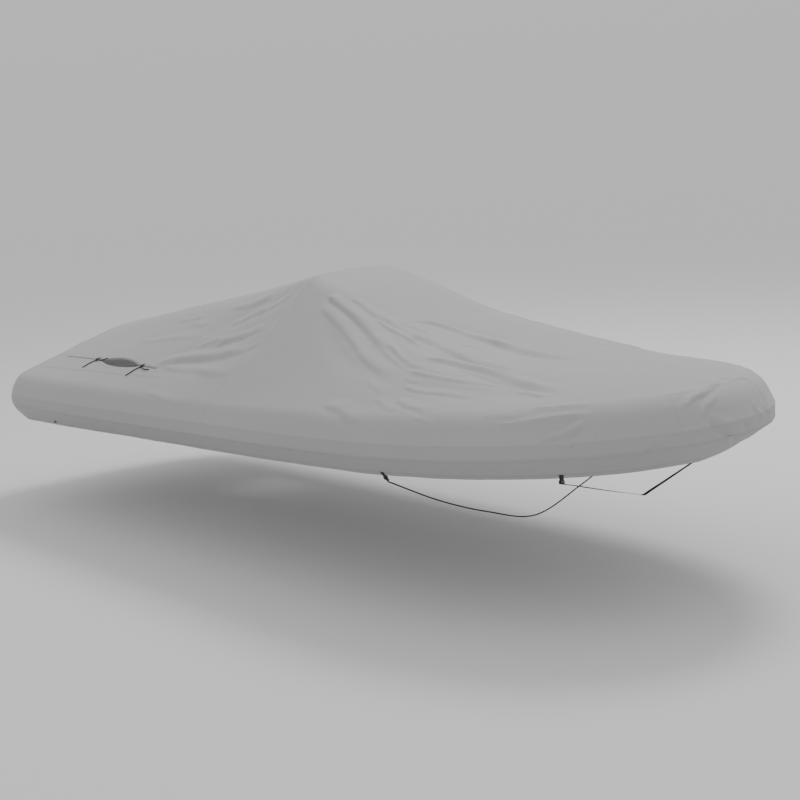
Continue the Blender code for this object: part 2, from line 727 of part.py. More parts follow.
def build_slider(name, corner, normal, down, forward, finish):
    """A small moulded slider that joins a tab to its strap, with eased corners."""
    wide, thick, tall = SLIDER
    centre = Vector(corner + down * tall / 2)
    shape = bmesh.new()
    bmesh.ops.create_cube(shape, size=1.0)
    for point in shape.verts:
        place = forward * point.co.x * wide + normal * point.co.y * thick + down * point.co.z * tall
        point.co = Vector(place)
    shape.normal_update()
    bmesh.ops.recalc_face_normals(shape, faces=shape.faces)
    mesh = bpy.data.meshes.new(name)
    shape.to_mesh(mesh)
    shape.free()
    mesh.materials.append(finish)
    made = bpy.data.objects.new(name, mesh)
    made.location = centre
    bpy.context.collection.objects.link(made)
    ease = made.modifiers.new("edges", "BEVEL")
    ease.width = SLIDER_EDGE
    ease.segments = 1
    return corner + down * (tall + PIECE_GAP)


def build_bow_strap(finish, hard):
    """One strap from the starboard tab, round the bow eye's place under the stem, to the port tab."""
    ends = []
    for name, side in SIDES:
        corner, normal, down, forward = build_tab(f"tab_bow_{name}", BOW_TAB_X, side, finish)
        start = build_slider(f"slider_bow_{name}", corner, normal, down, forward, hard)
        ends.append((side, start, down, forward))
    route = []
    widths = []
    for side, start, down, forward in ends:
        lead = start + down * STRAP_LEAD
        eye = np.array(BOW_EYE) + np.array([0.0, side * BOW_EYE_HALF_GAP, 0.0])
        leg = [start, lead, *[lead + (eye - lead) * part for part in STRAP_PARTS]]
        if side > 0:
            leg.reverse()
        route += leg
        widths += [forward] * len(leg)
    direct = np.gradient(np.array(route), axis=0)
    half = []
    for way, width in zip(direct, widths):
        way = way / np.linalg.norm(way)
        square = width - way * (width @ way)
        half.append(square / np.linalg.norm(square) * WEBBING / 2)
    build_ribbon("bow_strap", route, half, WEBBING_THICK, finish)


def build_belly_cord(woven, finish, hard):
    """A thin cord from the starboard mid tab, under the hull's place, to the port mid tab."""
    leads = {}
    for name, side in SIDES:
        corner, normal, down, forward = build_tab(f"tab_mid_{name}", MID_TAB_X, side, woven)
        start = build_slider(f"slider_mid_{name}", corner, normal, down, forward, hard)
        leads[side] = (start, start + down * BELLY_LEAD)
    starboard = [leads[-1][1]] + [np.array([x, -y, z]) for x, y, z in BELLY_ROUTE]
    port = [np.array(point) for point in BELLY_ROUTE[:-1]][::-1] + [leads[1][1]]
    line = smooth_route(starboard + port, BELLY_POINTS)
    build_cord("belly_cord", [leads[-1][0], *line, leads[1][0]], BELLY_CORD, finish)


def build_hem_knots(finish):
    """The knots of the hem's drawcord, one each side near the stern."""
    for name, side in SIDES:
        around = np.array([HEM_KNOT_AROUND])
        across = np.array([HEM_KNOT_ACROSS * side])
        centre = faceted_cloth(around, across, np.array([HEM_KNOT_SIZE / 2 + HEM_KNOT_LIFT]))[0]
        size = (HEM_KNOT_SIZE * HEM_KNOT_LENGTH, HEM_KNOT_SIZE, HEM_KNOT_SIZE)
        build_knot(f"hem_knot_{name}", tuple(centre), size, finish)


def main():
    clear_scene()
    cloth = material("cover_cloth", CLOTH_COLOUR, 0.85)
    skirt = material("skirt_cloth", SKIRT_COLOUR, 0.85)
    cord = material("tie_cord", BLACK, 0.7)
    webbing = material("webbing", BLACK, 0.75)
    plastic = material("moulded_plastic", BLACK, 0.4)
    build_top_aft(cloth)
    build_top_fore(cloth)
    build_nose(cloth)
    for name, side in SIDES:
        build_skirt(f"skirt_{name}", side, skirt)
        build_slot_strip(f"slot_strip_{name}", side, cloth)
        build_ties(name, side, cord)
    build_bow_strap(webbing, plastic)
    build_belly_cord(webbing, cord, plastic)
    build_hem_knots(cord)


if __name__ == "__main__":
    main()
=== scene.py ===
"""The looks of the fitted boat cover: cloth, seams, ties, straps and materials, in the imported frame.

Two numbers place a point on the cloth, as in the CAD source:
  around  metres along the widest outline, from the middle of the stern to the bow
  across  which strip of the cross-section: 0 to 1 is the flat top, 1 to 2 the hip,
          2 to 3 the sloping side, 3 to 4 the shoulder over the boat's tube and its strake,
          4 to 5 the upright band, 5 to 6 the skirt that turns in to the hem.
A negative across is on the starboard side, a positive one on the port side.
"""
import math

import bmesh
import bpy
import numpy as np
from mathutils import Matrix, Vector, noise


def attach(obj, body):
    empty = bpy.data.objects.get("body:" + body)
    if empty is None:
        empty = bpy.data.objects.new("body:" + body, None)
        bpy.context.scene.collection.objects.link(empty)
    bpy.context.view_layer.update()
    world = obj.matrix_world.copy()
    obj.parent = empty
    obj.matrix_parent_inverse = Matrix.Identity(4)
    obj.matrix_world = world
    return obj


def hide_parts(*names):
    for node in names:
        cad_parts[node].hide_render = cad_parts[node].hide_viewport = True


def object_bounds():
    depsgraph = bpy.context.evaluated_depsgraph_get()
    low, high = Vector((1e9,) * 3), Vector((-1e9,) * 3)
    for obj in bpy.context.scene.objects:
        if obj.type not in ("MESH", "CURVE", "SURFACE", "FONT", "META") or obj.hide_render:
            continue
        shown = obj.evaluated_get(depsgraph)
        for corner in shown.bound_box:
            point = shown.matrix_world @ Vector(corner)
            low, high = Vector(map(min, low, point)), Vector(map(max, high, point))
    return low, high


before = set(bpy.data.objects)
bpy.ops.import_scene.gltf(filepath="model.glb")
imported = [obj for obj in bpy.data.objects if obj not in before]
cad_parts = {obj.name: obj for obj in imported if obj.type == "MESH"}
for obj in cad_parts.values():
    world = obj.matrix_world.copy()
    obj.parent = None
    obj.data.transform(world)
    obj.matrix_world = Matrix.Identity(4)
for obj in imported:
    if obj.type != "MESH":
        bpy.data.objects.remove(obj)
CAD_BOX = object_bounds()
SIDES = (("starboard", -1), ("port", 1))

# Outline and cross-section, as in the CAD source, metres
STERN_X = CAD_BOX[0].x
BOW_X = CAD_BOX[1].x
HALF_BEAM = CAD_BOX[1].y
STERN_SPINE_X = -2.98
BOW_START_X = 0.93
BOW_SPINE_X = 2.46
STERN_POWER = 2.5
BOW_POWER = 2.72
END_POINTS = 500
SIDE_POINTS = 300
STRAKE_Z = -0.928
SHEER_SLOPE = 0.022
SHEER_RISE = 0.0056
SHOULDER = 0.186
STRAKE_OUT = 0.020
SHOULDER_SHARE = 0.6
LEAST_RISE = 0.004
LEAST_SIDE = 0.06
BAND = 0.092
SKIRT_DROP = 0.135
SKIRT_INSET = 0.125
SKIRT_GIRTH = 0.184
NOSE_LIFT = 0.050
NOSE_LIFT_X = 2.20
NOSE_LIFT_Y = (-0.20, 0.25)
CROWN = 0.022
END_ROUNDING = 0.72
HIP_EASE = 0.05
HIP_EASE_GROWTH = 0.12
HIP_EASE_MOST = 0.3
HIP_EASE_SHARE = 0.45
RIDGE_COLUMNS = ("x", "z", "half_width")
RIDGE_AFT = (
    (-3.30, -0.588, 0.310),
    (-2.60, -0.465, 0.330),
    (-1.90, -0.345, 0.350),
    (-0.90, -0.188, 0.370),
    (0.00, -0.019, 0.385),
)
RIDGE_FORE = (
    (0.00, -0.019, 0.385),
    (0.40, -0.144, 0.460),
    (0.80, -0.300, 0.580),
    (1.30, -0.472, 0.760),
    (1.80, -0.560, 0.860),
    (2.30, -0.590, 0.800),
    (2.80, -0.595, 0.600),
)

# The CAD solids' own broad folds: where each starts and ends, around and across, and its half width
# and depth in metres; the creases below sit in them
FOLDS = (
    (4.86, -1.70, 6.38, -1.95, 0.085, 0.034),
    (4.98, -1.95, 6.30, -2.10, 0.070, -0.018),
    (4.96, -2.10, 6.32, -2.24, 0.080, 0.022),
    (5.00, -1.45, 6.30, -1.18, 0.085, 0.018),
    (6.38, -2.06, 7.52, -2.13, 0.080, 0.018),
    (6.42, -2.36, 7.06, -2.47, 0.070, 0.012),
    (6.25, -1.12, 7.52, -1.74, 0.090, 0.020),
    (6.16, -0.26, 7.28, 0.08, 0.090, 0.012),
    (6.68, -1.10, 7.70, -2.42, 0.085, 0.018),
    (7.46, -3.78, 7.90, -3.30, 0.060, 0.012),
    (6.63, -2.78, 6.87, -3.77, 0.070, 0.012),
    (5.75, -2.90, 6.30, -3.45, 0.085, 0.014),
    (3.50, -2.74, 4.72, -2.50, 0.080, 0.020),
    (3.72, -2.60, 4.64, -2.30, 0.075, 0.016),
    (3.60, -2.30, 4.60, -2.05, 0.085, 0.014),
    (4.88, 1.74, 6.20, 2.00, 0.085, 0.030),
    (5.05, 1.45, 6.45, 1.25, 0.085, 0.016),
    (5.02, 2.20, 6.05, 2.45, 0.080, 0.020),
    (6.30, 2.10, 7.40, 2.30, 0.080, 0.016),
    (6.55, 1.05, 7.65, 1.90, 0.090, 0.016),
    (6.20, 2.85, 6.62, 3.60, 0.075, 0.012),
    (3.55, 2.72, 4.66, 2.42, 0.080, 0.018),
    (3.80, 2.45, 4.60, 2.12, 0.080, 0.014),
)
FOLD_REACH = 2.3
FOLD_SHARE = 0.55
FOLD_STEPS = 9
FOLD_FADE = 0.6

# Creases, each a raised fold with a low trough on either side, through three places on the cloth.
# Places past the bow run on along the port side. A negative height is a trough. The last two
# columns are in metres.
CREASE_COLUMNS = (
    "around", "across", "mid_around", "mid_across", "to_around", "to_across", "half_width", "height",
)
CREASE_PLACES = (("around", "across"), ("mid_around", "mid_across"), ("to_around", "to_across"))
CREASES = (
    # from the console's starboard corner, down the hip
    (4.89, -1.71, 5.27, -1.50, 6.02, -1.59, 0.038, 0.0144),
    (5.82, -1.49, 6.08, -1.63, 6.31, -1.81, 0.018, 0.0088),
    (5.83, -1.69, 6.08, -1.82, 6.32, -1.98, 0.017, 0.0053),
    (4.89, -2.05, 5.45, -1.96, 6.36, -2.24, 0.036, 0.0093),
    (5.05, -1.14, 5.31, -0.96, 5.54, -0.82, 0.033, 0.0080),
    (5.36, -1.06, 5.80, -1.03, 6.23, -1.11, 0.017, 0.0115),
    (5.78, -1.00, 6.44, -0.91, 7.32, -1.33, 0.019, 0.0227),
    (5.48, -0.73, 5.73, -0.66, 6.05, -0.63, 0.017, 0.0093),
    (5.41, -0.91, 5.62, -0.84, 5.98, -0.86, 0.017, 0.0086),
    # forward, over the foredeck
    (5.42, -0.51, 6.20, -0.06, 7.01, 0.24, 0.030, 0.0168),
    (6.46, 0.04, 6.99, 0.18, 7.45, 0.44, 0.030, 0.0176),
    (6.28, -1.47, 7.00, -1.25, 7.71, -2.01, 0.043, 0.0193),
    (6.70, -1.41, 7.13, -1.47, 7.56, -1.94, 0.028, 0.0073),
    (6.81, -0.88, 7.01, -0.92, 7.24, -1.10, 0.024, 0.0084),
    (6.25, -1.96, 6.77, -1.80, 7.22, -1.65, 0.017, 0.0093),
    (6.26, -1.77, 6.35, -1.75, 6.46, -1.72, 0.020, 0.0063),
    (6.41, -0.57, 6.53, -0.40, 6.74, -0.38, 0.024, 0.0077),
    (6.35, -2.16, 6.43, -2.13, 6.51, -2.13, 0.018, 0.0048),
    (6.38, -2.33, 6.70, -2.29, 7.08, -2.26, 0.028, 0.0070),
    (7.30, -1.88, 7.43, -1.94, 7.56, -2.20, 0.022, 0.0078),
    # short ones low on the side
    (6.41, -2.70, 6.59, -2.84, 6.76, -3.09, 0.031, 0.0088),
    (6.64, -3.22, 6.73, -3.32, 6.84, -3.49, 0.014, 0.0040),
    (6.22, -2.72, 6.38, -2.87, 6.52, -3.00, 0.028, 0.0056),
    (6.00, -2.38, 6.14, -2.48, 6.30, -2.62, 0.024, 0.0044),
    (5.76, -2.87, 6.03, -3.07, 6.29, -3.47, 0.045, 0.0098),
    (7.45, -3.13, 7.63, -3.10, 7.83, -3.16, 0.024, 0.0078),
    (7.22, -3.52, 7.55, -3.42, 7.87, -3.36, 0.018, 0.0092),
    (7.49, -3.90, 7.63, -3.77, 7.82, -3.46, 0.019, 0.0167),
    (7.63, -4.28, 7.67, -4.19, 7.73, -3.94, 0.014, 0.0089),
    (7.14, -3.24, 7.27, -3.27, 7.42, -3.33, 0.021, 0.0026),
    # puckers where the bow's curve begins
    (8.37, -3.52, 8.56, -3.23, 9.02, -2.38, 0.022, 0.0124),
    (9.07, -2.32, 9.00, -3.07, 9.28, -3.10, 0.022, 0.0065),
    (8.43, -3.76, 8.52, -3.52, 8.64, -3.35, 0.016, 0.0097),
    (8.21, -3.41, 8.31, -3.45, 8.41, -3.50, 0.017, 0.0021),
    (8.04, -5.13, 8.12, -4.65, 8.25, -4.34, 0.016, 0.0103),
    (8.23, -4.19, 8.38, -4.18, 8.53, -4.00, 0.015, 0.0064),
    # over the nose; these are troughs
    (8.48, -3.96, 8.60, -4.60, 8.80, -5.80, 0.026, -0.0170),
    (8.78, -4.31, 8.82, -4.89, 9.01, -5.87, 0.022, -0.0090),
    # beside the nose, on its port side
    (8.47, 3.66, 8.47, 3.95, 8.35, 4.61, 0.019, 0.0068),
    (8.38, 3.79, 8.33, 4.00, 8.20, 4.56, 0.016, 0.0050),
    # from the starboard slot up to the console
    (3.35, -2.69, 3.89, -2.59, 4.52, -2.57, 0.041, 0.0154),
    (4.19, -2.58, 4.45, -2.56, 4.63, -2.51, 0.028, 0.0065),
    (3.70, -2.49, 3.88, -2.43, 4.09, -2.39, 0.020, 0.0061),
    (3.95, -2.48, 4.22, -2.41, 4.55, -2.37, 0.031, 0.0107),
    (3.93, -2.24, 4.10, -2.20, 4.33, -2.14, 0.033, 0.0102),
    (4.20, -2.16, 4.40, -2.14, 4.49, -2.04, 0.028, 0.0084),
    (3.69, -2.00, 3.99, -2.03, 4.28, -2.01, 0.035, 0.0091),
    (2.70, -2.36, 3.19, -2.34, 3.71, -2.31, 0.030, 0.0064),
    (3.25, -2.15, 3.40, -2.15, 3.62, -2.16, 0.026, 0.0058),
    (2.94, -2.05, 3.16, -2.05, 3.40, -2.05, 0.026, 0.0063),
    (3.44, -2.70, 4.04, -2.75, 4.60, -2.76, 0.035, 0.0088),
    (3.64, -3.08, 3.93, -3.31, 4.26, -3.44, 0.026, 0.0037),
    # slack on the stern
    (0.24, -2.56, 0.36, -3.00, 0.36, -3.56, 0.034, 0.0055),
    (0.90, 2.46, 1.04, 2.90, 1.12, 3.44, 0.034, 0.0055),
    (1.26, -2.18, 1.46, -2.44, 1.70, -2.58, 0.028, 0.0050),
    (0.58, -2.26, 0.74, -2.70, 0.88, -3.14, 0.034, 0.0045),
)
CREASE_STEPS = 17
SECTION_POINTS = 121

# A crease's profile, in its own half widths: how far it reaches, how broad its flanks are, and the
# troughs beside it
CREASE_REACH = 3.4
REACH_MARGIN = 1.3
REACH_FADE = 0.6
UPPER_FLANK = 1.30
LOWER_FLANK = 0.62
TROUGH_SHARE = 0.26
TROUGH_PLACE = 1.9
TROUGH_WIDTH = 0.7

# Along a crease: how its width grows and its ends fade, and its two waves, each given by its size,
# its radians along the crease and its radians from one crease to the next
WIDTH_START = 0.55
WIDTH_GROWTH = 0.65
FADE_IN = 0.16
FADE_OUT = 0.24
WANDER = (0.25, 9.0, 2.4)
UNEVEN = (0.13, 17.0, 1.7)

# Which creases come again on the port side, and how they are moved along, spread and made higher
# there; the paces are radians from one crease to the next
MIRROR_ACROSS = -1.3
MIRROR_END = 8.0
PORT_SHIFT = 0.06
PORT_SHIFT_PACE = 2.1
PORT_SPREAD = 0.02
PORT_SPREAD_PACE = 1.3
PORT_SPREAD_START = 1.0
CREST_AROUND = 4.7
PORT_AFT = 1.5
PORT_FORE = 0.75
PORT_HEIGHT = 0.15
PORT_HEIGHT_PACE = 3.7

# Slack of the whole cloth, each layer of noise given by its scale and its height in metres, and the
# puckers beside the sewn lines of the band and the skirt; the last two turn strips roughly to metres
SLACK = ((1.9, 0.0042), (5.2, 0.0016), (12.0, 0.0006))
SLACK_SHIFT = (3.1, 7.7, 1.3)
PUCKER = 0.0016
PUCKER_SCALE = 17.0
PUCKER_UPRIGHT = 0.35
PUCKER_WIDTH = 0.030
PUCKER_LEAST = 0.02
SHOULDER_METRES = 0.2
BAND_AND_SKIRT = 1.5

# How far the edges of the strake and the band are eased, metres, and the shares of the easing
EDGE_STRIPS = (3.0, 3.6, 4.0, 5.0, 6.0)
EDGE_METRES = (-0.280, -0.089, 0.0, 0.092, 0.276)
EASE_ALONG = 0.012
EASE_STERN = 0.105
EASE_END = 3.4
EASE_LENGTH = 2.6
EASE_FADE = 0.17
EASE_SHARES = ((-1.0, 0.12), (-0.5, 0.22), (0.0, 0.32), (0.5, 0.22), (1.0, 0.12))

# Mesh sizes: metres between rows, and steps between columns in each strip of the section; points
# within the merging distance become one; a place far from a seam counts as this far
ROW_STEP = 0.0125
FINE_STEP = 0.007
ZONE_STEPS = (1 / 24, 1 / 28, 1 / 46, 1 / 18)
MERGE = 0.00002
FAR = 9.0
CLOSE = 1e-6
TINY = 1e-9
STEEP = 0.9

# Short steps along and across the cloth that its directions are measured over
NORMAL_STEP = 0.002
NOSE_PROBE = 0.01
TIE_PROBE = 0.02
HEM_KNOT_PROBE = 0.03
HEM_PROBE_AROUND = 0.05
HEM_PROBE_ACROSS = 0.4

# Seams and laps; a lap's raw edge is tucked down onto the cloth below
CREST_SEAM_X = -0.10
NOSE_AROUND = 8.30
NOSE_ACROSS = 3.10
NOSE_STEP = 0.03
LAP = 0.014
LAP_LIFT = 0.0009
LAP_EDGE = 0.0015
TUCK = 0.0002
LAP_ROOM = 0.02
AFTER_LAP = 0.006
BEFORE_LAP = 0.004

# The skirt: its felled seam, and its turned hem as places across and shares of the hem's thickness
FELL = 0.006
FELL_BELOW = 1 / 30
FELL_EDGE = 0.008
FELL_ROOM = 0.01
BAND_STEP = 0.12
SKIRT_STEP = 0.065
SKIRT_START = 5.06
HEM_DEPTH = 0.032
HEM_THICK = 0.0032
HEM_TURN = ((6.0, 0.5), (5.985, 0.95), (5.96, 1.0), (5.90, 1.0), (6.0 - HEM_DEPTH / SKIRT_GIRTH, 0.9))
HEM_WAVE = 0.035
HEM_WAVE_SCALE = 2.3
HEM_WAVE_SIDE = 4.1
HEM_WAVE_PLACE = 0.7
HEM_WAVE_LEVEL = 0.6
HEM_WAVE_FADE = 0.3

# The strip that holds the slot, and the slot's eye, slit and turned lips; a lip is given by how far
# back it turns, in metres, and by shares of its depth
STRIP_ACROSS = (2.3333, 2.8333)
STRIP_END_RIB = 14
AFT_RIBS = 21
STRIP_COLUMNS = 16
SLOT_AROUND = 2.81
SLOT_ACROSS = 2.69
SLOT_DRIFT = 0.085
SLOT_HALF_LENGTH = 0.37
SLOT_HALF_WIDTH = 0.050
SLIT_ENDS = (1.72, 3.47)
SLIT_FADE = 0.05
SLIT_GAP = 0.0035
SLIT_UNEVEN = 0.35
SLIT_WAVES = (23.0, 61.0)
SLIT_OPEN = 0.0012
LIP_DEPTH = 0.015
LIP_TURN = ((0.0, 0.0), (0.0018, 0.12), (0.0028, 0.45), (0.0034, 1.0))
LIP_STITCHES = 0.024

# Ties: each end's knot has two strands into the slot, given by how far outboard they reach, and two
# free tails, given by where they end, along and outboard from the knot, and their length in metres
TIE_CORD = 0.008
TIE_REACH = 0.050
KNOT_SIZE = (0.026, 0.020, 0.016)
KNOT_LIFT = 0.0005
KNOT_POINTS = 61
KNOT_SPREAD = 2.6
STRAND_SHARE = 0.42
STRAND_SIDES = 12
STRAND_POINTS = 9
STRAND_REACHES = (-0.034, 0.024)
STRAND_START = 0.007
STRAND_ASIDE = 0.2
STRAND_PLACES = ((0.65, 0.004, 0.0055), (1.0, 0.006, -0.003))
TIE_TAILS = (
    ("aft", "outer", -0.075, 0.125, 0.137),
    ("aft", "inner", 0.150, -0.022, 0.145),
    ("fore", "outer", -0.105, 0.120, 0.149),
    ("fore", "inner", 0.150, 0.030, 0.149),
)
TAIL_START = 0.009
TAIL_BENDS = 6
TAIL_SWAY = 0.012
SWAY_TURNS = 1.3
TAIL_LIFT = 0.0048
TAIL_STEP = 0.003
TAIL_POINTS = 20
TAIL_PULL = 0.1
TUBE_SIDES = 16
TIP_POINTS = 3
TIP_SHARE = 0.45
TIP_SWELL = 1.06
CURVE_STEPS = 20

# Webbing under the hem, and a tab's places down from the hem's edge: metres, share of the way out
# and share of the way back behind the hem
WEBBING = 0.025
WEBBING_THICK = 0.002
RIBBON_EDGE = 0.97
RIBBON_END = 0.5
TAB_OUT = 0.0015
TAB_BACK = 0.0042
TAB_ABOVE = 0.035
TAB_BELOW = 0.022
TAB_PLACES = (
    (-TAB_ABOVE, 1.0, 0.0),
    (-TAB_ABOVE * 0.5, 1.0, 0.0),
    (-0.004, 1.0, 0.0),
    (TAB_BELOW * 0.6, 0.9, 0.0),
    (TAB_BELOW + 0.004, 0.8, 0.0),
    (TAB_BELOW + 0.0065, 0.2, 0.3),
    (TAB_BELOW + 0.002, 0.0, 1.0),
    (TAB_BELOW * 0.4, 0.0, 0.9),
)
TAB_POINTS = 40
SLIDER = (0.034, 0.006, 0.026)
SLIDER_CHEEK = 0.0045
SLIDER_BAR = 0.0048
BAR_THIN = 0.72
SLIDER_EASE = 0.0011
SLIDER_EASE_STEPS = 3

# The bow strap and the belly cord, metres
BOW_TAB_X = 2.92
BOW_EYE = (2.70, 0.0, -1.32)
BOW_EYE_HALF = 0.012
BOW_EYE_DIP = 0.002
STRAP_SAG = 0.004
STRAP_TUCK = 0.45
STRAP_LEAD = 0.006
STRAP_SHARES = (0.15, 0.4, 0.7, 0.93)
STRAP_POINTS = 260
STRAP_TWIST = (-0.2, 1.2)
MID_TAB_X = 1.75
BELLY_ROUTE = ((1.75, 0.82, -1.325), (1.75, 0.42, -1.480), (1.75, 0.0, -1.590))
BELLY_CORD = 0.009
BELLY_TUCK = 0.004
BELLY_LEAD = 0.018
BELLY_BENDS = 78
BELLY_POINTS = 520

# Knots of the hem's drawcord; an end is given by its way, and its places by metres along the hem,
# share of its drop and metres in
HEM_KNOT_AROUND = 2.13
HEM_KNOT_ACROSS = 5.70
HEM_KNOT_SIZE = (0.021, 0.014, 0.0126)
HEM_CORD_RADIUS = 0.0028
HEM_END_DROPS = ((-1, 0.010), (1, 0.006))
HEM_END_POINTS = 12
HEM_END_PLACES = ((0.004, 0.0, 0.0), (0.012, 0.4, 0.002), (0.019, 1.0, 0.003))

# Colours, and the sizes of threads, stitches and strands in metres
COVER_COLOUR = (0.440, 0.440, 0.437)
# the band and skirt use the cover's cloth a little darker: painted shade for parts that face sideways and
# down
SKIRT_SHADED_COLOUR = (0.412, 0.412, 0.409)
THREAD_PITCH = 0.0016
STITCH_ROWS = (0.0040, 0.0100)
STITCH_HALF = 0.0008
STITCH_PITCH = 0.0050
STITCH_SHARE = 0.68
STRAND_PITCH = 0.0052
STRAND_TURNS = 4
RIB_PITCH = 0.0026
CHEVRON_PITCH = 0.0022
BOX_ENDS = (0.003, 0.028)
BOX_ROWS = (0.0045, 0.0265)
BOX_MIDDLE = 0.0155
BOX_SLOPE = 0.86
BOX_SIDE = 0.0095
BOX_SIDE_HALF = 0.0007
BOX_EDGE = 0.0103
BOX_PITCH = 0.0032
BOX_SHARE = 0.7

# Stage, light and camera
FLOOR_RADIUS = 60.0
FLOOR_CORNERS = 96
GROUND_Z = -1.955
CAMERA_PLACE = (8.742702, -6.742570, 0.874690)
CAMERA_AZIMUTH = math.radians(50.987)
CAMERA_DOWN = math.radians(9.617)
CAMERA_ROLL = math.radians(-3.848)
CAMERA_LENS = 68.12
CAMERA_SENSOR = 36.0
CAMERA_FAR = 200.0
SKY = 0.80
HORIZON_SHARE = 0.78
HORIZON_HEIGHT = 0.5
KEY_LIGHT = (-1.0, 6.5, 10.0)
KEY_SIZE = 5.0
KEY_POWER = 800.0
FLOOR_TONE = 0.78


# ---------------------------------------------------------------- the cloth's surface

def table_value(table, x, column):
    """A smooth curve through one column of a ridge table."""
    rows = np.array(table, float)
    places = rows[:, 0]
    values = rows[:, RIDGE_COLUMNS.index(column)]
    slopes = np.gradient(values, places)
    x = np.clip(x, places[0], places[-1])
    low = np.clip(np.searchsorted(places, x) - 1, 0, len(places) - 2)
    span = places[low + 1] - places[low]
    part = (x - places[low]) / span
    rest = 1.0 - part
    start = values[low] * (1 + 2 * part) * rest**2 + slopes[low] * span * part * rest**2
    end = values[low + 1] * part**2 * (3 - 2 * part) - slopes[low + 1] * span * rest * part**2
    return start + end


def ridge(x, column):
    return np.where(x < 0.0, table_value(RIDGE_AFT, x, column), table_value(RIDGE_FORE, x, column))


def trace_outline():
    """The port half of the outline: distance around it, its x and y, and the x where its rib starts."""
    turn = np.linspace(0.0, math.pi / 2, END_POINTS)
    stern_x = STERN_SPINE_X - (STERN_SPINE_X - STERN_X) * np.cos(turn) ** (2 / STERN_POWER)
    stern_y = HALF_BEAM * np.sin(turn) ** (2 / STERN_POWER)
    side_x = np.linspace(STERN_SPINE_X, BOW_START_X, SIDE_POINTS)[1:-1]
    bow_x = BOW_START_X + (BOW_X - BOW_START_X) * np.sin(turn) ** (2 / BOW_POWER)
    bow_y = HALF_BEAM * np.cos(turn)
    bow_spine = BOW_START_X + (BOW_SPINE_X - BOW_START_X) * np.sin(turn)
    x = np.concatenate([stern_x, side_x, bow_x])
    y = np.concatenate([stern_y, np.full_like(side_x, HALF_BEAM), bow_y])
    spine = np.concatenate([np.full_like(stern_x, STERN_SPINE_X), side_x, bow_spine])
    x[0] = STERN_X
    y[0] = 0.0
    y[-1] = 0.0
    steps = np.hypot(np.diff(x), np.diff(y))
    return np.concatenate([[0.0], np.cumsum(steps)]), x, y, spine


OUTLINE = trace_outline()
OUTLINE_LENGTH = float(OUTLINE[0][-1])


def around_at_x(x):
    """Distance around the outline at a place on the straight side or the bow."""
    return float(np.interp(x, OUTLINE[1], OUTLINE[0]))


STERN_END = around_at_x(STERN_SPINE_X)
CREST_SEAM = around_at_x(0.0) + CREST_SEAM_X
STRIP_FROM = STERN_END
STRIP_TO = STERN_END + (around_at_x(0.0) - STERN_END) * STRIP_END_RIB / AFT_RIBS


def as_grids(around, across):
    return np.broadcast_arrays(np.asarray(around, float), np.asarray(across, float))


def side_of(across):
    """-1 on the starboard side, 1 on the port side."""
    return np.where(across < 0.0, -1.0, 1.0)


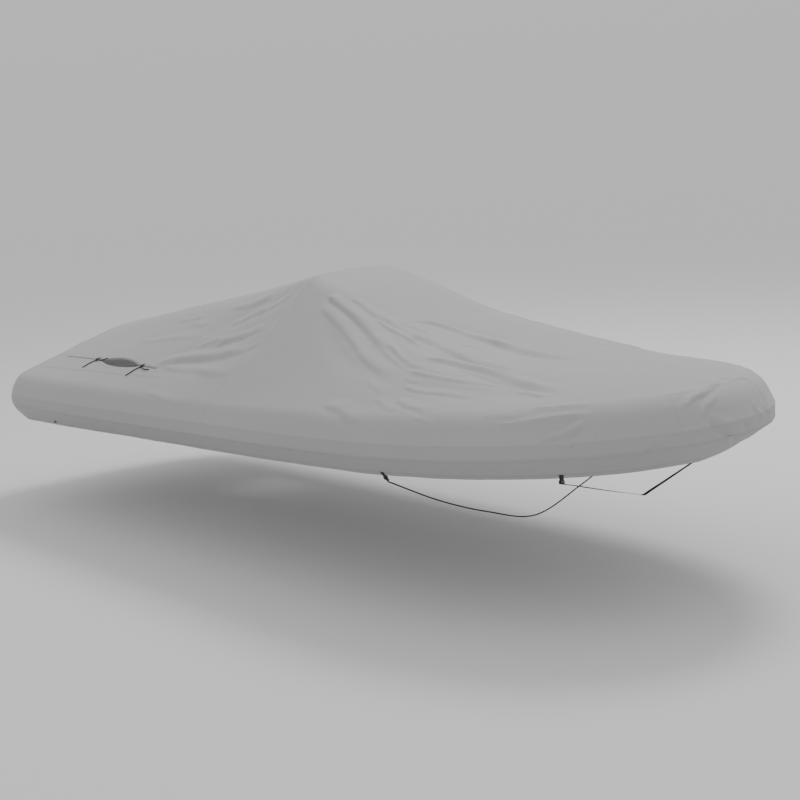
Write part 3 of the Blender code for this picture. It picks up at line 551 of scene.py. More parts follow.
def smooth_cloth(around, across):
    """Points on the outer face of the cloth, before its folds."""
    around, across = as_grids(around, across)
    side = side_of(across)
    strip = np.minimum(np.abs(across), 6.0)
    zone = np.floor(np.minimum(strip, 6.0 - CLOSE))
    part = strip - zone

    edge_x, edge_y, spine_x = [np.interp(around, OUTLINE[0], values) for values in OUTLINE[1:]]
    reach = np.hypot(edge_x - spine_x, edge_y)
    out_x = (edge_x - spine_x) / reach
    out_y = edge_y / reach

    strake = STRAKE_Z + SHEER_SLOPE * edge_x + SHEER_RISE * np.maximum(edge_x, 0.0) ** 2
    top = np.maximum(ridge(spine_x, "z"), strake + SHOULDER + LEAST_RISE)
    centre = reach - SHOULDER - STRAKE_OUT
    width = ridge(spine_x, "half_width") / np.hypot(out_x / END_ROUNDING, out_y)
    width = np.minimum(width, centre - LEAST_SIDE)

    # the straight side touches the round shoulder at a tangent
    run = centre - width
    drop = strake - top
    tangent = np.arctan2(-drop, -run) - np.arccos(SHOULDER / np.hypot(run, drop))
    touch_r = centre + SHOULDER * np.cos(tangent)
    touch_z = strake + SHOULDER * np.sin(tangent)
    side_length = np.hypot(touch_r - width, touch_z - top)

    # the hip is rounded more the further it is from the crest
    ease = np.minimum(HIP_EASE + HIP_EASE_GROWTH * np.abs(spine_x), HIP_EASE_MOST)
    ease = np.minimum(ease, HIP_EASE_SHARE * width)
    ease_down = np.minimum(ease, HIP_EASE_SHARE * side_length)
    in_r = width - ease
    in_z = top + CROWN * (1 - (in_r / width) ** 2)
    out_r = width + (touch_r - width) * ease_down / side_length
    out_z = top + (touch_z - top) * ease_down / side_length

    # the cloth leaves the shoulder at a tangent too, and runs straight out to the boat's strake
    leave = math.acos(SHOULDER / (SHOULDER + STRAKE_OUT))
    shoulder_turn = tangent + (leave - tangent) * np.minimum(part / SHOULDER_SHARE, 1.0)
    past_shoulder = np.maximum(part - SHOULDER_SHARE, 0.0) / (1.0 - SHOULDER_SHARE)
    shoulder_r = centre + SHOULDER * np.cos(shoulder_turn)
    shoulder_z = strake + SHOULDER * np.sin(shoulder_turn)

    # the hem rides up a little on the port side of the nose
    towards_nose = np.clip((edge_x - NOSE_LIFT_X) / (BOW_X - NOSE_LIFT_X), 0.0, 1.0)
    lift_low, lift_high = NOSE_LIFT_Y
    towards_port = np.clip((side * edge_y - lift_low) / (lift_high - lift_low), 0.0, 1.0)
    skirt_drop = SKIRT_DROP - NOSE_LIFT * towards_nose * towards_port

    rest = 1.0 - part
    zones = [zone == number for number in range(5)]
    radius = np.select(
        zones,
        [
            in_r * part,
            in_r * rest**2 + 2 * width * part * rest + out_r * part**2,
            out_r + (touch_r - out_r) * part,
            shoulder_r + (reach - shoulder_r) * past_shoulder,
            reach,
        ],
        reach - SKIRT_INSET * part,
    )
    height = np.select(
        zones,
        [
            top + CROWN * (1 - (in_r * part / width) ** 2),
            in_z * rest**2 + 2 * top * part * rest + out_z * part**2,
            out_z + (touch_z - out_z) * part,
            shoulder_z + (strake - shoulder_z) * past_shoulder,
            strake - BAND * part,
        ],
        strake - BAND - skirt_drop * part,
    )
    return np.stack([spine_x + radius * out_x, side * radius * out_y, height], -1)


def cloth_normals(around, across):
    """Unit normals of the unfolded cloth, pointing out of the cover."""
    before = smooth_cloth(np.maximum(around - NORMAL_STEP, 0.0), across)
    after = smooth_cloth(np.minimum(around + NORMAL_STEP, OUTLINE_LENGTH), across)
    side = side_of(across)
    inner = smooth_cloth(around, side * np.maximum(np.abs(across) - NORMAL_STEP, 0.0))
    outer = smooth_cloth(around, side * np.minimum(np.abs(across) + NORMAL_STEP, 6.0))
    normal = np.cross(after - before, outer - inner) * side[..., None]
    middle = np.abs(smooth_cloth(around, across)[..., 1]) < CLOSE
    normal[..., 1] = np.where(middle, 0.0, normal[..., 1])
    length = np.linalg.norm(normal, axis=-1, keepdims=True)
    upright = np.broadcast_to([0.0, 0.0, 1.0], normal.shape)
    return np.where(length > TINY, normal / np.maximum(length, TINY), upright)


def near_line(points, normals, line, reach):
    """Which points lie near a line, their signed distance from it and their share of the way along."""
    low = line.min(0) - reach
    high = line.max(0) + reach
    chosen = np.flatnonzero(np.all((points > low) & (points < high), axis=1))
    here = points[chosen]
    nearest = np.full(len(here), np.inf)
    signed = np.zeros(len(here))
    along = np.zeros(len(here))
    for index in range(len(line) - 1):
        leg = line[index + 1] - line[index]
        part = np.clip((here - line[index]) @ leg / (leg @ leg), 0.0, 1.0)
        offset = here - line[index] - part[:, None] * leg
        distance = np.linalg.norm(offset, axis=1)
        across_leg = np.cross(normals[chosen], leg)
        closer = distance < nearest
        nearest = np.where(closer, distance, nearest)
        turn = np.where((across_leg * offset).sum(1) < 0.0, -1.0, 1.0)
        signed = np.where(closer, distance * turn, signed)
        along = np.where(closer, (index + part) / (len(line) - 1), along)
    return chosen, signed, along


def smooth_step(value):
    value = np.clip(value, 0.0, 1.0)
    return value * value * (3.0 - 2.0 * value)


def fold_sink(points, normals):
    """How far the CAD's broad folds push each point in."""
    sink = np.zeros(len(points))
    steps = np.linspace(0.0, 1.0, FOLD_STEPS)
    for around, across, to_around, to_across, half_width, depth in FOLDS:
        line = smooth_cloth(around + (to_around - around) * steps, across + (to_across - across) * steps)
        reach = FOLD_REACH * half_width
        chosen, signed, along = near_line(points, normals, line, reach)
        profile = np.exp(-((signed / half_width) ** 2))
        profile = np.where(np.abs(signed) < reach, profile, 0.0)
        fade = np.clip(4.0 * along * (1.0 - along), 0.0, 1.0) ** FOLD_FADE
        sink[chosen] += depth * profile * fade
    return sink


def running_length(grid, axes=(0, 1, 2)):
    """Metres along each row of a grid from its first column, or along the chosen axes only."""
    steps = np.linalg.norm(np.diff(grid[..., list(axes)], axis=1), axis=-1)
    return np.concatenate([np.zeros((grid.shape[0], 1)), np.cumsum(steps, axis=1)], axis=1)


def through_three(start, middle, end, steps):
    """A smooth run of values from the start, through the middle halfway, to the end."""
    return start + (end - start) * steps + (middle - (start + end) / 2) * 4.0 * steps * (1.0 - steps)


def crease_line(crease):
    """Points along a crease, which runs smoothly through its three places on the flattened cloth."""
    steps = np.linspace(0.0, 1.0, CREASE_STEPS)
    strips = np.linspace(0.0, 6.0, SECTION_POINTS)
    girths = []
    for name, across in CREASE_PLACES:
        around = min(crease[name], 2 * OUTLINE_LENGTH - crease[name])
        section = smooth_cloth(around, strips)[None]
        girth = np.interp(abs(crease[across]), strips, running_length(section)[0])
        girths.append(math.copysign(girth, crease[across]))
    around = through_three(*[crease[name] for name, _ in CREASE_PLACES], steps)
    girth = through_three(*girths, steps)
    past_bow = around > OUTLINE_LENGTH
    around = np.where(past_bow, 2 * OUTLINE_LENGTH - around, around)
    girth = np.where(past_bow, -girth, girth)
    sections = running_length(smooth_cloth(around[:, None], strips[None, :]))
    across = [np.interp(abs(wanted), section, strips) for wanted, section in zip(girth, sections)]
    return smooth_cloth(around, np.copysign(across, girth))


def all_crease_lines():
    """Every crease with its line; the starboard ones come again, a little changed, on the port side."""
    rows = [dict(zip(CREASE_COLUMNS, row)) for row in CREASES]
    mirrored = []
    for order, row in enumerate(rows):
        nearest_middle = max(row[across] for _, across in CREASE_PLACES)
        if nearest_middle < MIRROR_ACROSS and row["to_around"] < MIRROR_END:
            copy = dict(row)
            shift = PORT_SHIFT * math.sin(PORT_SHIFT_PACE * order)
            spread = 1.0 + PORT_SPREAD * math.sin(PORT_SPREAD_PACE * order + PORT_SPREAD_START)
            for around, across in CREASE_PLACES:
                copy[around] += shift
                copy[across] *= -spread
            share = PORT_AFT if row["around"] < CREST_AROUND else PORT_FORE
            copy["height"] *= share + PORT_HEIGHT * math.sin(PORT_HEIGHT_PACE * order)
            mirrored.append(copy)
    return [(row, crease_line(row)) for row in rows + mirrored]


CREASE_LINES = all_crease_lines()


def crease_uphill(crease):
    """1 where the cloth rises to the left of a crease's way forward, as to starboard, and -1 to port."""
    return -math.copysign(1.0, crease["mid_across"])


def crease_wave(along, order, size, pace, shift):
    """A wave along a crease, different from one crease to the next."""
    return size * np.sin(pace * along + shift * order)


def crease_rise(points, normals):
    """How far the creases push each point out: a raised fold, with a low trough on either side."""
    rise = np.zeros(len(points))
    for order, (crease, line) in enumerate(CREASE_LINES):
        reach = CREASE_REACH * crease["half_width"] * REACH_MARGIN
        chosen, signed, along = near_line(points, normals, line, reach)
        width = crease["half_width"] * (WIDTH_START + WIDTH_GROWTH * np.sqrt(along))
        place = signed * crease_uphill(crease) / width + crease_wave(along, order, *WANDER)
        place = np.where(place > 0.0, place / UPPER_FLANK, place / LOWER_FLANK)
        raised = np.exp(-(place**2))
        troughs = np.exp(-(((np.abs(place) - TROUGH_PLACE) / TROUGH_WIDTH) ** 2))
        uneven = 1.0 + crease_wave(along, order, *UNEVEN)
        fade = smooth_step(along / FADE_IN) * smooth_step((1.0 - along) / FADE_OUT)
        ends = smooth_step((CREASE_REACH - np.abs(place)) / REACH_FADE)
        rise[chosen] += crease["height"] * ((raised - TROUGH_SHARE * troughs) * fade * uneven * ends)
    return rise


def slack(points):
    """The cloth's own soft unevenness, from smooth noise at three sizes."""
    rise = np.zeros(len(points))
    for layer, (scale, height) in enumerate(SLACK):
        shift = Vector(SLACK_SHIFT) * layer
        values = [noise.noise(Vector(point) * scale + shift) for point in points]
        rise += height * np.array(values)
    return rise


def pucker(points, across):
    """Fine gathers beside the sewn lines of the band and the skirt."""
    strip = np.abs(across)
    from_strake = np.maximum(strip - 4.0, 0.0) * BAND + np.maximum(4.0 - strip, 0.0) * SHOULDER_METRES
    from_band = np.abs(strip - 5.0) * BAND * BAND_AND_SKIRT
    from_hem = np.abs((6.0 - strip) * SKIRT_GIRTH - HEM_DEPTH)
    nearest = np.minimum(np.minimum(from_strake, from_band), from_hem)
    share = np.exp(-((nearest / PUCKER_WIDTH) ** 2))
    rise = np.zeros(len(points))
    for index in np.flatnonzero(share > PUCKER_LEAST):
        place = Vector(points[index])
        place.z *= PUCKER_UPRIGHT
        rise[index] = noise.noise(place * PUCKER_SCALE)
    return PUCKER * rise * share


def eased_cloth(around, across):
    """The unfolded cloth with the edges of its strake and band eased, most of all round the stern."""
    strip = np.abs(across)
    side = side_of(across)
    place = np.interp(strip, EDGE_STRIPS, EDGE_METRES)
    towards_stern = smooth_step((EASE_END - around) / EASE_LENGTH)
    most = EASE_ALONG + (EASE_STERN - EASE_ALONG) * towards_stern
    spread = most * smooth_step((place - EDGE_METRES[0]) / EASE_FADE)
    spread = spread * smooth_step((EDGE_METRES[-1] - place) / EASE_FADE)
    eased = np.zeros((*around.shape, 3))
    for offset, share in EASE_SHARES:
        moved = np.interp(place + offset * spread, EDGE_METRES, EDGE_STRIPS)
        eased += share * smooth_cloth(around, side * np.where(strip < EDGE_STRIPS[0], strip, moved))
    return eased


def cloth(around, across, lift=0.0):
    """Points on the outer face of the finished cloth, or lifted off it."""
    around, across = as_grids(around, across)
    points = eased_cloth(around, across).reshape(-1, 3)
    normals = cloth_normals(around, across).reshape(-1, 3)
    rise = crease_rise(points, normals) - FOLD_SHARE * fold_sink(points, normals)
    rise += slack(points) + pucker(points, across.reshape(-1))
    rise += np.broadcast_to(lift, around.shape).reshape(-1)
    return (points + normals * rise[:, None]).reshape(*around.shape, 3)


# ---------------------------------------------------------------- meshes

def spaced(stops, steps):
    """Values from the first stop to the last, about a step apart, with every stop among them."""
    values = [np.array([stops[0]])]
    for first, last, step in zip(stops[:-1], stops[1:], np.broadcast_to(steps, len(stops) - 1)):
        count = max(1, round((last - first) / step))
        values.append(np.linspace(first, last, count + 1)[1:])
    return np.concatenate(values)


def add_piece(name, mesh, finish):
    """A smooth object made of a mesh and one material."""
    mesh.shade_smooth()
    mesh.materials.append(finish)
    made = bpy.data.objects.new(name, mesh)
    bpy.context.collection.objects.link(made)
    return made


def mesh_from_grids(name, grids, finish):
    """One object from grids of points, each with its surface coordinates and the faces it keeps."""
    faces = []
    first = 0
    for grid in grids:
        rows, columns = grid["points"].shape[:2]
        number = first + np.arange(rows * columns).reshape(rows, columns)
        corners = np.stack([number[:-1, :-1], number[1:, :-1], number[1:, 1:], number[:-1, 1:]], -1)
        faces.append(corners[grid["keep"]])
        first += rows * columns
    points = np.concatenate([grid["points"].reshape(-1, 3) for grid in grids])
    mesh = bpy.data.meshes.new(name)
    mesh.from_pydata(points.tolist(), [], np.concatenate(faces).tolist())
    corner_of = np.zeros(len(mesh.loops), np.int32)
    mesh.loops.foreach_get("vertex_index", corner_of)
    for label in ("weave", "seam"):
        values = np.concatenate([grid[label].reshape(-1, 2) for grid in grids])
        layer = mesh.uv_layers.new(name=label)
        layer.uv.foreach_set("vector", values[corner_of].astype(np.float32).ravel())
    shape = bmesh.new()
    shape.from_mesh(mesh)
    bmesh.ops.remove_doubles(shape, verts=shape.verts, dist=MERGE)
    loose = [corner for corner in shape.verts if not corner.link_faces]
    bmesh.ops.delete(shape, geom=loose, context="VERTS")
    shape.to_mesh(mesh)
    shape.free()
    return add_piece(name, mesh, finish)


def grid_of(around, across, lift, seam, keep=None, flip=False):
    """A grid of the finished cloth: its weave in metres, and metres along and from its nearest seam."""
    around, across, lift = np.broadcast_arrays(around, across, lift)
    if keep is None:
        keep = np.ones((around.shape[0] - 1, around.shape[1] - 1), bool)
    if flip:
        around, across, lift, seam, keep = [
            np.flip(values, 1) for values in (around, across, lift, seam, keep)
        ]
    points = cloth(around, across, lift)
    length = running_length(points, (1, 2))
    middle = np.argmin(np.abs(across[0]))
    weave = np.stack([points[..., 0], length - length[:, middle : middle + 1]], -1)
    return {"points": points, "weave": weave, "seam": seam, "keep": keep}


def nearest_seam(choices):
    """Metres along and from whichever seam is nearest, from pairs that give them for each seam."""
    shape = choices[0][1].shape
    along = np.stack([np.broadcast_to(choice[0], shape) for choice in choices])
    apart = np.stack([np.broadcast_to(choice[1], shape) for choice in choices])
    best = np.argmin(apart, axis=0)[None]
    chosen = [np.take_along_axis(values, best, axis=0)[0] for values in (along, apart)]
    return np.stack(chosen, -1)


def from_lower_edge(around, across):
    """Metres of cloth between each point and its panel's lower edge."""
    length = running_length(smooth_cloth(around, across))
    return np.minimum(length, length[:, -1:] - length)


def lapped(body):
    """One side's across values with a lap over the band, and how far each stands off the cloth below."""
    lap = 4.0 + np.array([0.0, LAP - LAP_EDGE, LAP]) / BAND
    lift = np.concatenate([np.zeros(len(body)), [LAP_LIFT, LAP_LIFT, TUCK]])
    return np.concatenate([body, lap]), lift


def top_columns():
    """Across values of a top panel from edge to edge, and how far each column is lifted."""
    side, lift = lapped(spaced((0.0, 1.0, 2.0, 3.0, 4.0 - LAP_ROOM), ZONE_STEPS))
    return np.concatenate([-side[::-1], side[1:]]), np.concatenate([lift[::-1], lift[1:]])


def snap(values, wanted):
    """Moves the nearest of the values onto each wanted one."""
    values = values.copy()
    for value in wanted:
        values[np.argmin(np.abs(values - value))] = value
    return values


def cell_middles(rows, columns):
    """The around and the unsigned across values at the middles of a grid's cells."""
    around = (rows[1:] + rows[:-1]) / 2
    across = np.abs(columns[1:] + columns[:-1]) / 2
    return around[:, None], across[None, :]


# ---------------------------------------------------------------- the panels

def make_top_aft(finish):
    """The aft top, from the stern to the crest seam, open where the slot strips go."""
    rows = spaced([0.0, STRIP_FROM, STRIP_TO, CREST_SEAM], ROW_STEP)
    columns, lift = top_columns()
    inner, outer = STRIP_ACROSS
    columns = snap(columns, (-outer, -inner, inner, outer))
    around, across = np.meshgrid(rows, columns, indexing="ij")
    mid_around, mid_across = cell_middles(rows, columns)
    in_strip_rows = (mid_around > STRIP_FROM) & (mid_around < STRIP_TO)
    in_strip_columns = (mid_across > inner) & (mid_across < outer)
    seam = nearest_seam([(around, from_lower_edge(around, across))])
    grid = grid_of(around, across, lift, seam, ~(in_strip_rows & in_strip_columns))
    return mesh_from_grids("cover_top_aft", [grid], finish)


def make_top_fore(finish):
    """The fore top, which laps over the aft top at the crest, the nose panel and the bands."""
    back = CREST_SEAM - LAP
    front = NOSE_AROUND + LAP
    rows = np.concatenate([
        [back, back + LAP_EDGE, CREST_SEAM],
        spaced([CREST_SEAM + AFTER_LAP, NOSE_AROUND - BEFORE_LAP], ROW_STEP),
        [NOSE_AROUND, front - LAP_EDGE, front],
        spaced([front + AFTER_LAP, OUTLINE_LENGTH], ROW_STEP),
    ])
    here, there = smooth_cloth(OUTLINE_LENGTH, [NOSE_ACROSS, NOSE_ACROSS + NOSE_PROBE])
    per_metre = float(NOSE_PROBE / np.linalg.norm(there - here))
    nose_edge = NOSE_ACROSS + LAP * per_metre
    nose_before = NOSE_ACROSS + (LAP - LAP_EDGE) * per_metre
    columns, lift = top_columns()
    marks = (NOSE_ACROSS, nose_before, nose_edge)
    columns = snap(columns, [*marks, *[-mark for mark in marks]])
    around, across = np.meshgrid(rows, columns, indexing="ij")
    strip = np.abs(across)
    lift = np.broadcast_to(lift, around.shape).copy()
    lift[0] = TUCK
    lift[1:3] = LAP_LIFT
    beside_nose = strip >= NOSE_ACROSS - CLOSE
    lift[(around >= NOSE_AROUND - CLOSE) & beside_nose] = LAP_LIFT
    rim = (np.abs(around - front) < CLOSE) & beside_nose
    rim |= (around >= front - CLOSE) & (np.abs(strip - nose_edge) < CLOSE)
    lift[rim] = TUCK
    lift[:, [0, -1]] = TUCK
    mid_around, mid_across = cell_middles(rows, columns)
    keep = ~((mid_around > front) & (mid_across > nose_edge))
    nose_side = np.where(strip > NOSE_ACROSS, front - around, FAR)
    nose_top = np.where(around > NOSE_AROUND, (nose_edge - strip) / per_metre, FAR)
    lower = np.where(around > front, FAR, from_lower_edge(around, across))
    width = running_length(smooth_cloth(around, across))
    seam = nearest_seam([
        (around, lower),
        (width, around - back),
        (width, np.abs(nose_side)),
        (around, np.abs(nose_top)),
    ])
    return mesh_from_grids("cover_top_fore", [grid_of(around, across, lift, seam, keep)], finish)


def make_nose(finish):
    """The cap over the blunt nose, tucked under the fore top and over the band."""
    rows = spaced([NOSE_AROUND, OUTLINE_LENGTH], FINE_STEP)
    strip, lift = lapped(spaced([NOSE_ACROSS, 4.0 - LAP_ROOM], NOSE_STEP))
    around, across = np.meshgrid(rows, strip, indexing="ij")
    seam = np.stack([around, (strip[-1] - across) * BAND], -1)
    grids = [grid_of(around, side * across, lift, seam, flip=side < 0) for _, side in SIDES]
    return mesh_from_grids("cover_nose", grids, finish)


def make_skirt(name, side, finish):
    """The band and the skirt of one side, with its felled seam and its turned-in hem."""
    rows = spaced([0.0, OUTLINE_LENGTH], ROW_STEP)
    fell = [5.0 - FELL / BAND, 5.0, 5.0 + FELL_BELOW, 5.0 + FELL_BELOW + FELL_EDGE]
    band = spaced([4.0, fell[0] - FELL_ROOM], BAND_STEP)
    skirt = spaced([SKIRT_START, 6.0], SKIRT_STEP)
    turned, thickness = np.array(HEM_TURN).T
    strip = np.concatenate([band, fell, skirt, turned])
    plain = np.zeros(len(skirt) + 1)
    lift = np.concatenate([np.zeros(len(band)), np.full(3, LAP_LIFT), plain, -HEM_THICK * thickness])
    around, across = np.meshgrid(rows, strip, indexing="ij")
    rise = hem_across(rows, side) - 6.0
    across = across + rise[:, None] * np.clip(across - 5.0, 0.0, 1.0)
    from_hem = np.abs(np.abs((strip - 6.0) * SKIRT_GIRTH) - HEM_DEPTH) + STITCH_ROWS[0]
    from_band = np.abs(strip - 5.0) * np.where(strip < 5.0, BAND, SKIRT_GIRTH)
    seam = nearest_seam([(around, np.broadcast_to(from_hem, around.shape)), (around, from_band)])
    grid = grid_of(around, side * across, lift, seam, flip=side < 0)
    return mesh_from_grids(f"cover_skirt_{name}", [grid], finish)


def slot_centre(around):
    """Across value of the slot's middle line, which drifts outboard going forward."""
    return SLOT_ACROSS + SLOT_DRIFT * (around - SLOT_AROUND)


def side_metres(around):
    """Width of the sloping side strip in metres."""
    return np.linalg.norm(smooth_cloth(around, 3.0) - smooth_cloth(around, 2.0), axis=-1)


def slot_half_gap(around):
    """Half the slot's opening in metres: an eye in the middle, and a narrow uneven slit to both ends."""
    part = np.clip((around - SLOT_AROUND) / SLOT_HALF_LENGTH, -1.0, 1.0)
    start, end = SLIT_ENDS
    inside = np.clip((around - start) / SLIT_FADE, 0.0, 1.0) * np.clip((end - around) / SLIT_FADE, 0.0, 1.0)
    broad, fine = SLIT_WAVES
    uneven = 1.0 - SLIT_UNEVEN + SLIT_UNEVEN * np.sin(broad * around) * np.sin(fine * around + 1.0)
    return np.maximum(SLOT_HALF_WIDTH * (1.0 - part**2), SLIT_GAP * uneven * inside)


def make_slot_strip(name, side, finish):
    """The strip that holds the arch's slot: its lips are turned in, its border laps over the aft top."""
    low = STRIP_FROM - LAP
    high = STRIP_TO + LAP
    rows = np.concatenate([
        [low, low + LAP_EDGE],
        spaced([low + AFTER_LAP, *SLIT_ENDS, high - AFTER_LAP], FINE_STEP),
        [high - LAP_EDGE, high],
    ])
    metres = side_metres(rows)[:, None]
    gap = slot_half_gap(rows)[:, None]
    closed = (gap[1:, 0] < CLOSE) & (gap[:-1, 0] < CLOSE)
    parts = np.concatenate([[0.0], np.linspace(0.0, 1.0, STRIP_COLUMNS)])
    back, depth = np.array(LIP_TURN).T
    turned_lift = LAP_LIFT - LIP_DEPTH * np.clip(gap / SLIT_OPEN, 0.0, 1.0) * depth
    grids = []
    for way, edge in zip((-1, 1), STRIP_ACROSS):
        border = edge + way * LAP / metres
        lip = slot_centre(rows)[:, None] + way * (gap / metres)
        across = border + (lip - border) * parts
        across[:, 1] = across[:, 0] - way * LAP_EDGE / metres[:, 0]
        lift = np.full(across.shape, LAP_LIFT)
        lift[:, 0] = TUCK
        lift[[0, -1]] = TUCK
        across = np.concatenate([across, lip + way * back / metres], axis=1)
        lift = np.concatenate([lift, turned_lift], axis=1)
        around = np.repeat(rows[:, None], across.shape[1], axis=1)
        from_border = np.abs(across - border) * metres
        from_end = np.minimum(around - low, high - around)
        from_lip = np.abs(np.abs(across - lip) * metres - LIP_STITCHES) + STITCH_ROWS[0]
        seam = nearest_seam([(around, from_border), (across * metres, from_end), (around, from_lip)])
        keep = np.ones((around.shape[0] - 1, around.shape[1] - 1), bool)
        keep[closed, -3:] = False
        grids.append(grid_of(around, side * across, lift, seam, keep, flip=way * side > 0))
    return mesh_from_grids(f"cover_slot_strip_{name}", grids, finish)


# ---------------------------------------------------------------- cords, knots and webbing

def settle(piece, node):
    """A piece rides on the one body and stands for its CAD node."""
    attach(piece, "root")
    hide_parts(node)


def unit(vector):
    return vector / np.linalg.norm(vector)


def unit_rows(vectors):
    return vectors / np.linalg.norm(vectors, axis=1)[:, None]


def frames_along(route):
    """A sideways and an upward unit vector at each point of a route, turning as little as they can."""
    ahead = unit_rows(np.gradient(route, axis=0))
    up = np.array([0.0, 0.0, 1.0]) if abs(ahead[0, 2]) < STEEP else np.array([1.0, 0.0, 0.0])
    sideways = []
    for way in ahead:
        up = unit(up - way * (up @ way))
        sideways.append(np.cross(way, up))
    sideways = np.array(sideways)
    return sideways, np.cross(sideways, ahead)


def swept_parts(rings, length, places, ends):
    """Points, faces and surface coordinates of rings of points joined along a route, its ends closed."""
    count = rings.shape[1]
    faces = []
    coordinates = []
    for row in range(len(rings) - 1):
        start = row * count
        low, high = length[row : row + 2]
        for column in range(count):
            after = (column + 1) % count
            faces.append((start + column, start + after, start + count + after, start + count + column))
            left, right = places[column : column + 2]
            coordinates.append(((low, left), (low, right), (high, right), (high, left)))
    last = (len(rings) - 1) * count
    faces.append(tuple(range(count))[::-1])
    faces.append(tuple(range(last, last + count)))
    coordinates += [((end, 0.0),) * count for end in ends]
    return rings.reshape(-1, 3), faces, coordinates


def tube_parts(route, radii, sides=TUBE_SIDES):
    """Points, faces and surface coordinates of a round tube with closed ends."""
    route = np.array(route, float)
    sideways, up = frames_along(route)
    turn = np.linspace(0.0, 2 * math.pi, sides, endpoint=False)[None, :, None]
    ring = np.cos(turn) * sideways[:, None, :] + np.sin(turn) * up[:, None, :]
    length = running_length(route[None])[0]
    places = [column / sides for column in range(sides + 1)]
    rings = route[:, None, :] + ring * np.array(radii)[:, None, None]
    return swept_parts(rings, length, places, (0.0, length[-1]))


def ribbon_parts(route, widths, stitched=0.0):
    """A flat strap with rounded edges along a route; widths are half-width vectors, one for each point."""
    widths = np.array(widths, float)
    flat = np.cross(np.gradient(route, axis=0), widths)
    flat *= (WEBBING_THICK / 2) / np.linalg.norm(flat, axis=1)[:, None]
    wide = np.array([-RIBBON_EDGE, 0.0, RIBBON_EDGE, 1.0, RIBBON_EDGE, 0.0, -RIBBON_EDGE, -1.0])
    high = np.array([-1.0, -1.0, -1.0, 0.0, 1.0, 1.0, 1.0, 0.0])
    rings = route[:, None, :] + widths[:, None, :] * wide[:, None] + flat[:, None, :] * high[:, None]
    length = running_length(route[None])[0] + stitched
    places = np.append(wide, wide[0]) * np.linalg.norm(widths[0])
    return swept_parts(rings, length, places, (RIBBON_END, RIBBON_END))


def mesh_from_parts(name, parts, finish, node):
    """One piece from sets of points, faces and surface coordinates."""
    points = []
    faces = []
    coordinates = []
    for part_points, part_faces, part_coordinates in parts:
        first = len(points)
        points += [tuple(point) for point in part_points]
        faces += [tuple(index + first for index in face) for face in part_faces]
        coordinates += [pair for face in part_coordinates for pair in face]
    mesh = bpy.data.meshes.new(name)
    mesh.from_pydata(points, [], faces)
    layer = mesh.uv_layers.new(name="weave")
    layer.uv.foreach_set("vector", np.array(coordinates, np.float32).ravel())
    made = add_piece(name, mesh, finish)
    settle(made, node)
    return made


def smooth_route(points, count):
    """Evenly spaced points on a smooth curve through a route's own points."""
    points = np.array(points, float)
    padded = np.concatenate([[2 * points[0] - points[1]], points, [2 * points[-1] - points[-2]]])
    dense = []
    for index in range(1, len(padded) - 2):
        before, here, there, after = padded[index - 1 : index + 3]
        bend = 2 * before - 5 * here + 4 * there - after
        twist = 3 * here - before - 3 * there + after
        for part in np.linspace(0.0, 1.0, CURVE_STEPS, endpoint=False):
            dense.append(0.5 * (2 * here + (there - before) * part + bend * part**2 + twist * part**3))
    dense = np.array([*dense, points[-1]])
    length = running_length(dense[None])[0]
    wanted = np.linspace(0.0, length[-1], count)
    return np.stack([np.interp(wanted, length, dense[:, axis]) for axis in range(3)], 1)


def rounded_radii(count, radius):
    """Radii of a cord whose far end is melted round, and a little swollen behind the tip."""
    radii = np.full(count, radius)
    for step in range(TIP_POINTS):
        radii[count - 1 - step] = radius * (TIP_SHARE + (1.0 - TIP_SHARE) * step / TIP_POINTS)
    radii[count - 1 - TIP_POINTS] = radius * TIP_SWELL
    return radii


def slot_point(along, outboard, side, lift):
    """Places given in metres from the slot's middle, on the strip that holds the slot."""
    around = SLOT_AROUND + np.atleast_1d(along)
    across = slot_centre(around) + np.atleast_1d(outboard) / side_metres(around)
    return cloth(around, side * across, LAP_LIFT + lift)


def knot_parts(centre, ways, size, radius):
    """A pulled-tight overhand knot: one closed strand that crosses itself three times."""
    turn = np.linspace(0.0, 2 * math.pi, KNOT_POINTS)
    loops = (
        (np.sin(turn) + 2 * np.sin(2 * turn)) / KNOT_SPREAD,
        (np.cos(turn) - 2 * np.cos(2 * turn)) / KNOT_SPREAD,
        -np.sin(3 * turn),
    )
    route = centre
    for loop, way, extent in zip(loops, ways, size):
        route = route + loop[:, None] * way * (extent / 2 - radius)
    return tube_parts(route, np.full(len(route), radius), STRAND_SIDES)


def make_cord(name, node, finish, route, radii):
    """A cord along a route."""
    made = mesh_from_parts(name, [tube_parts(route, radii)], finish, node)


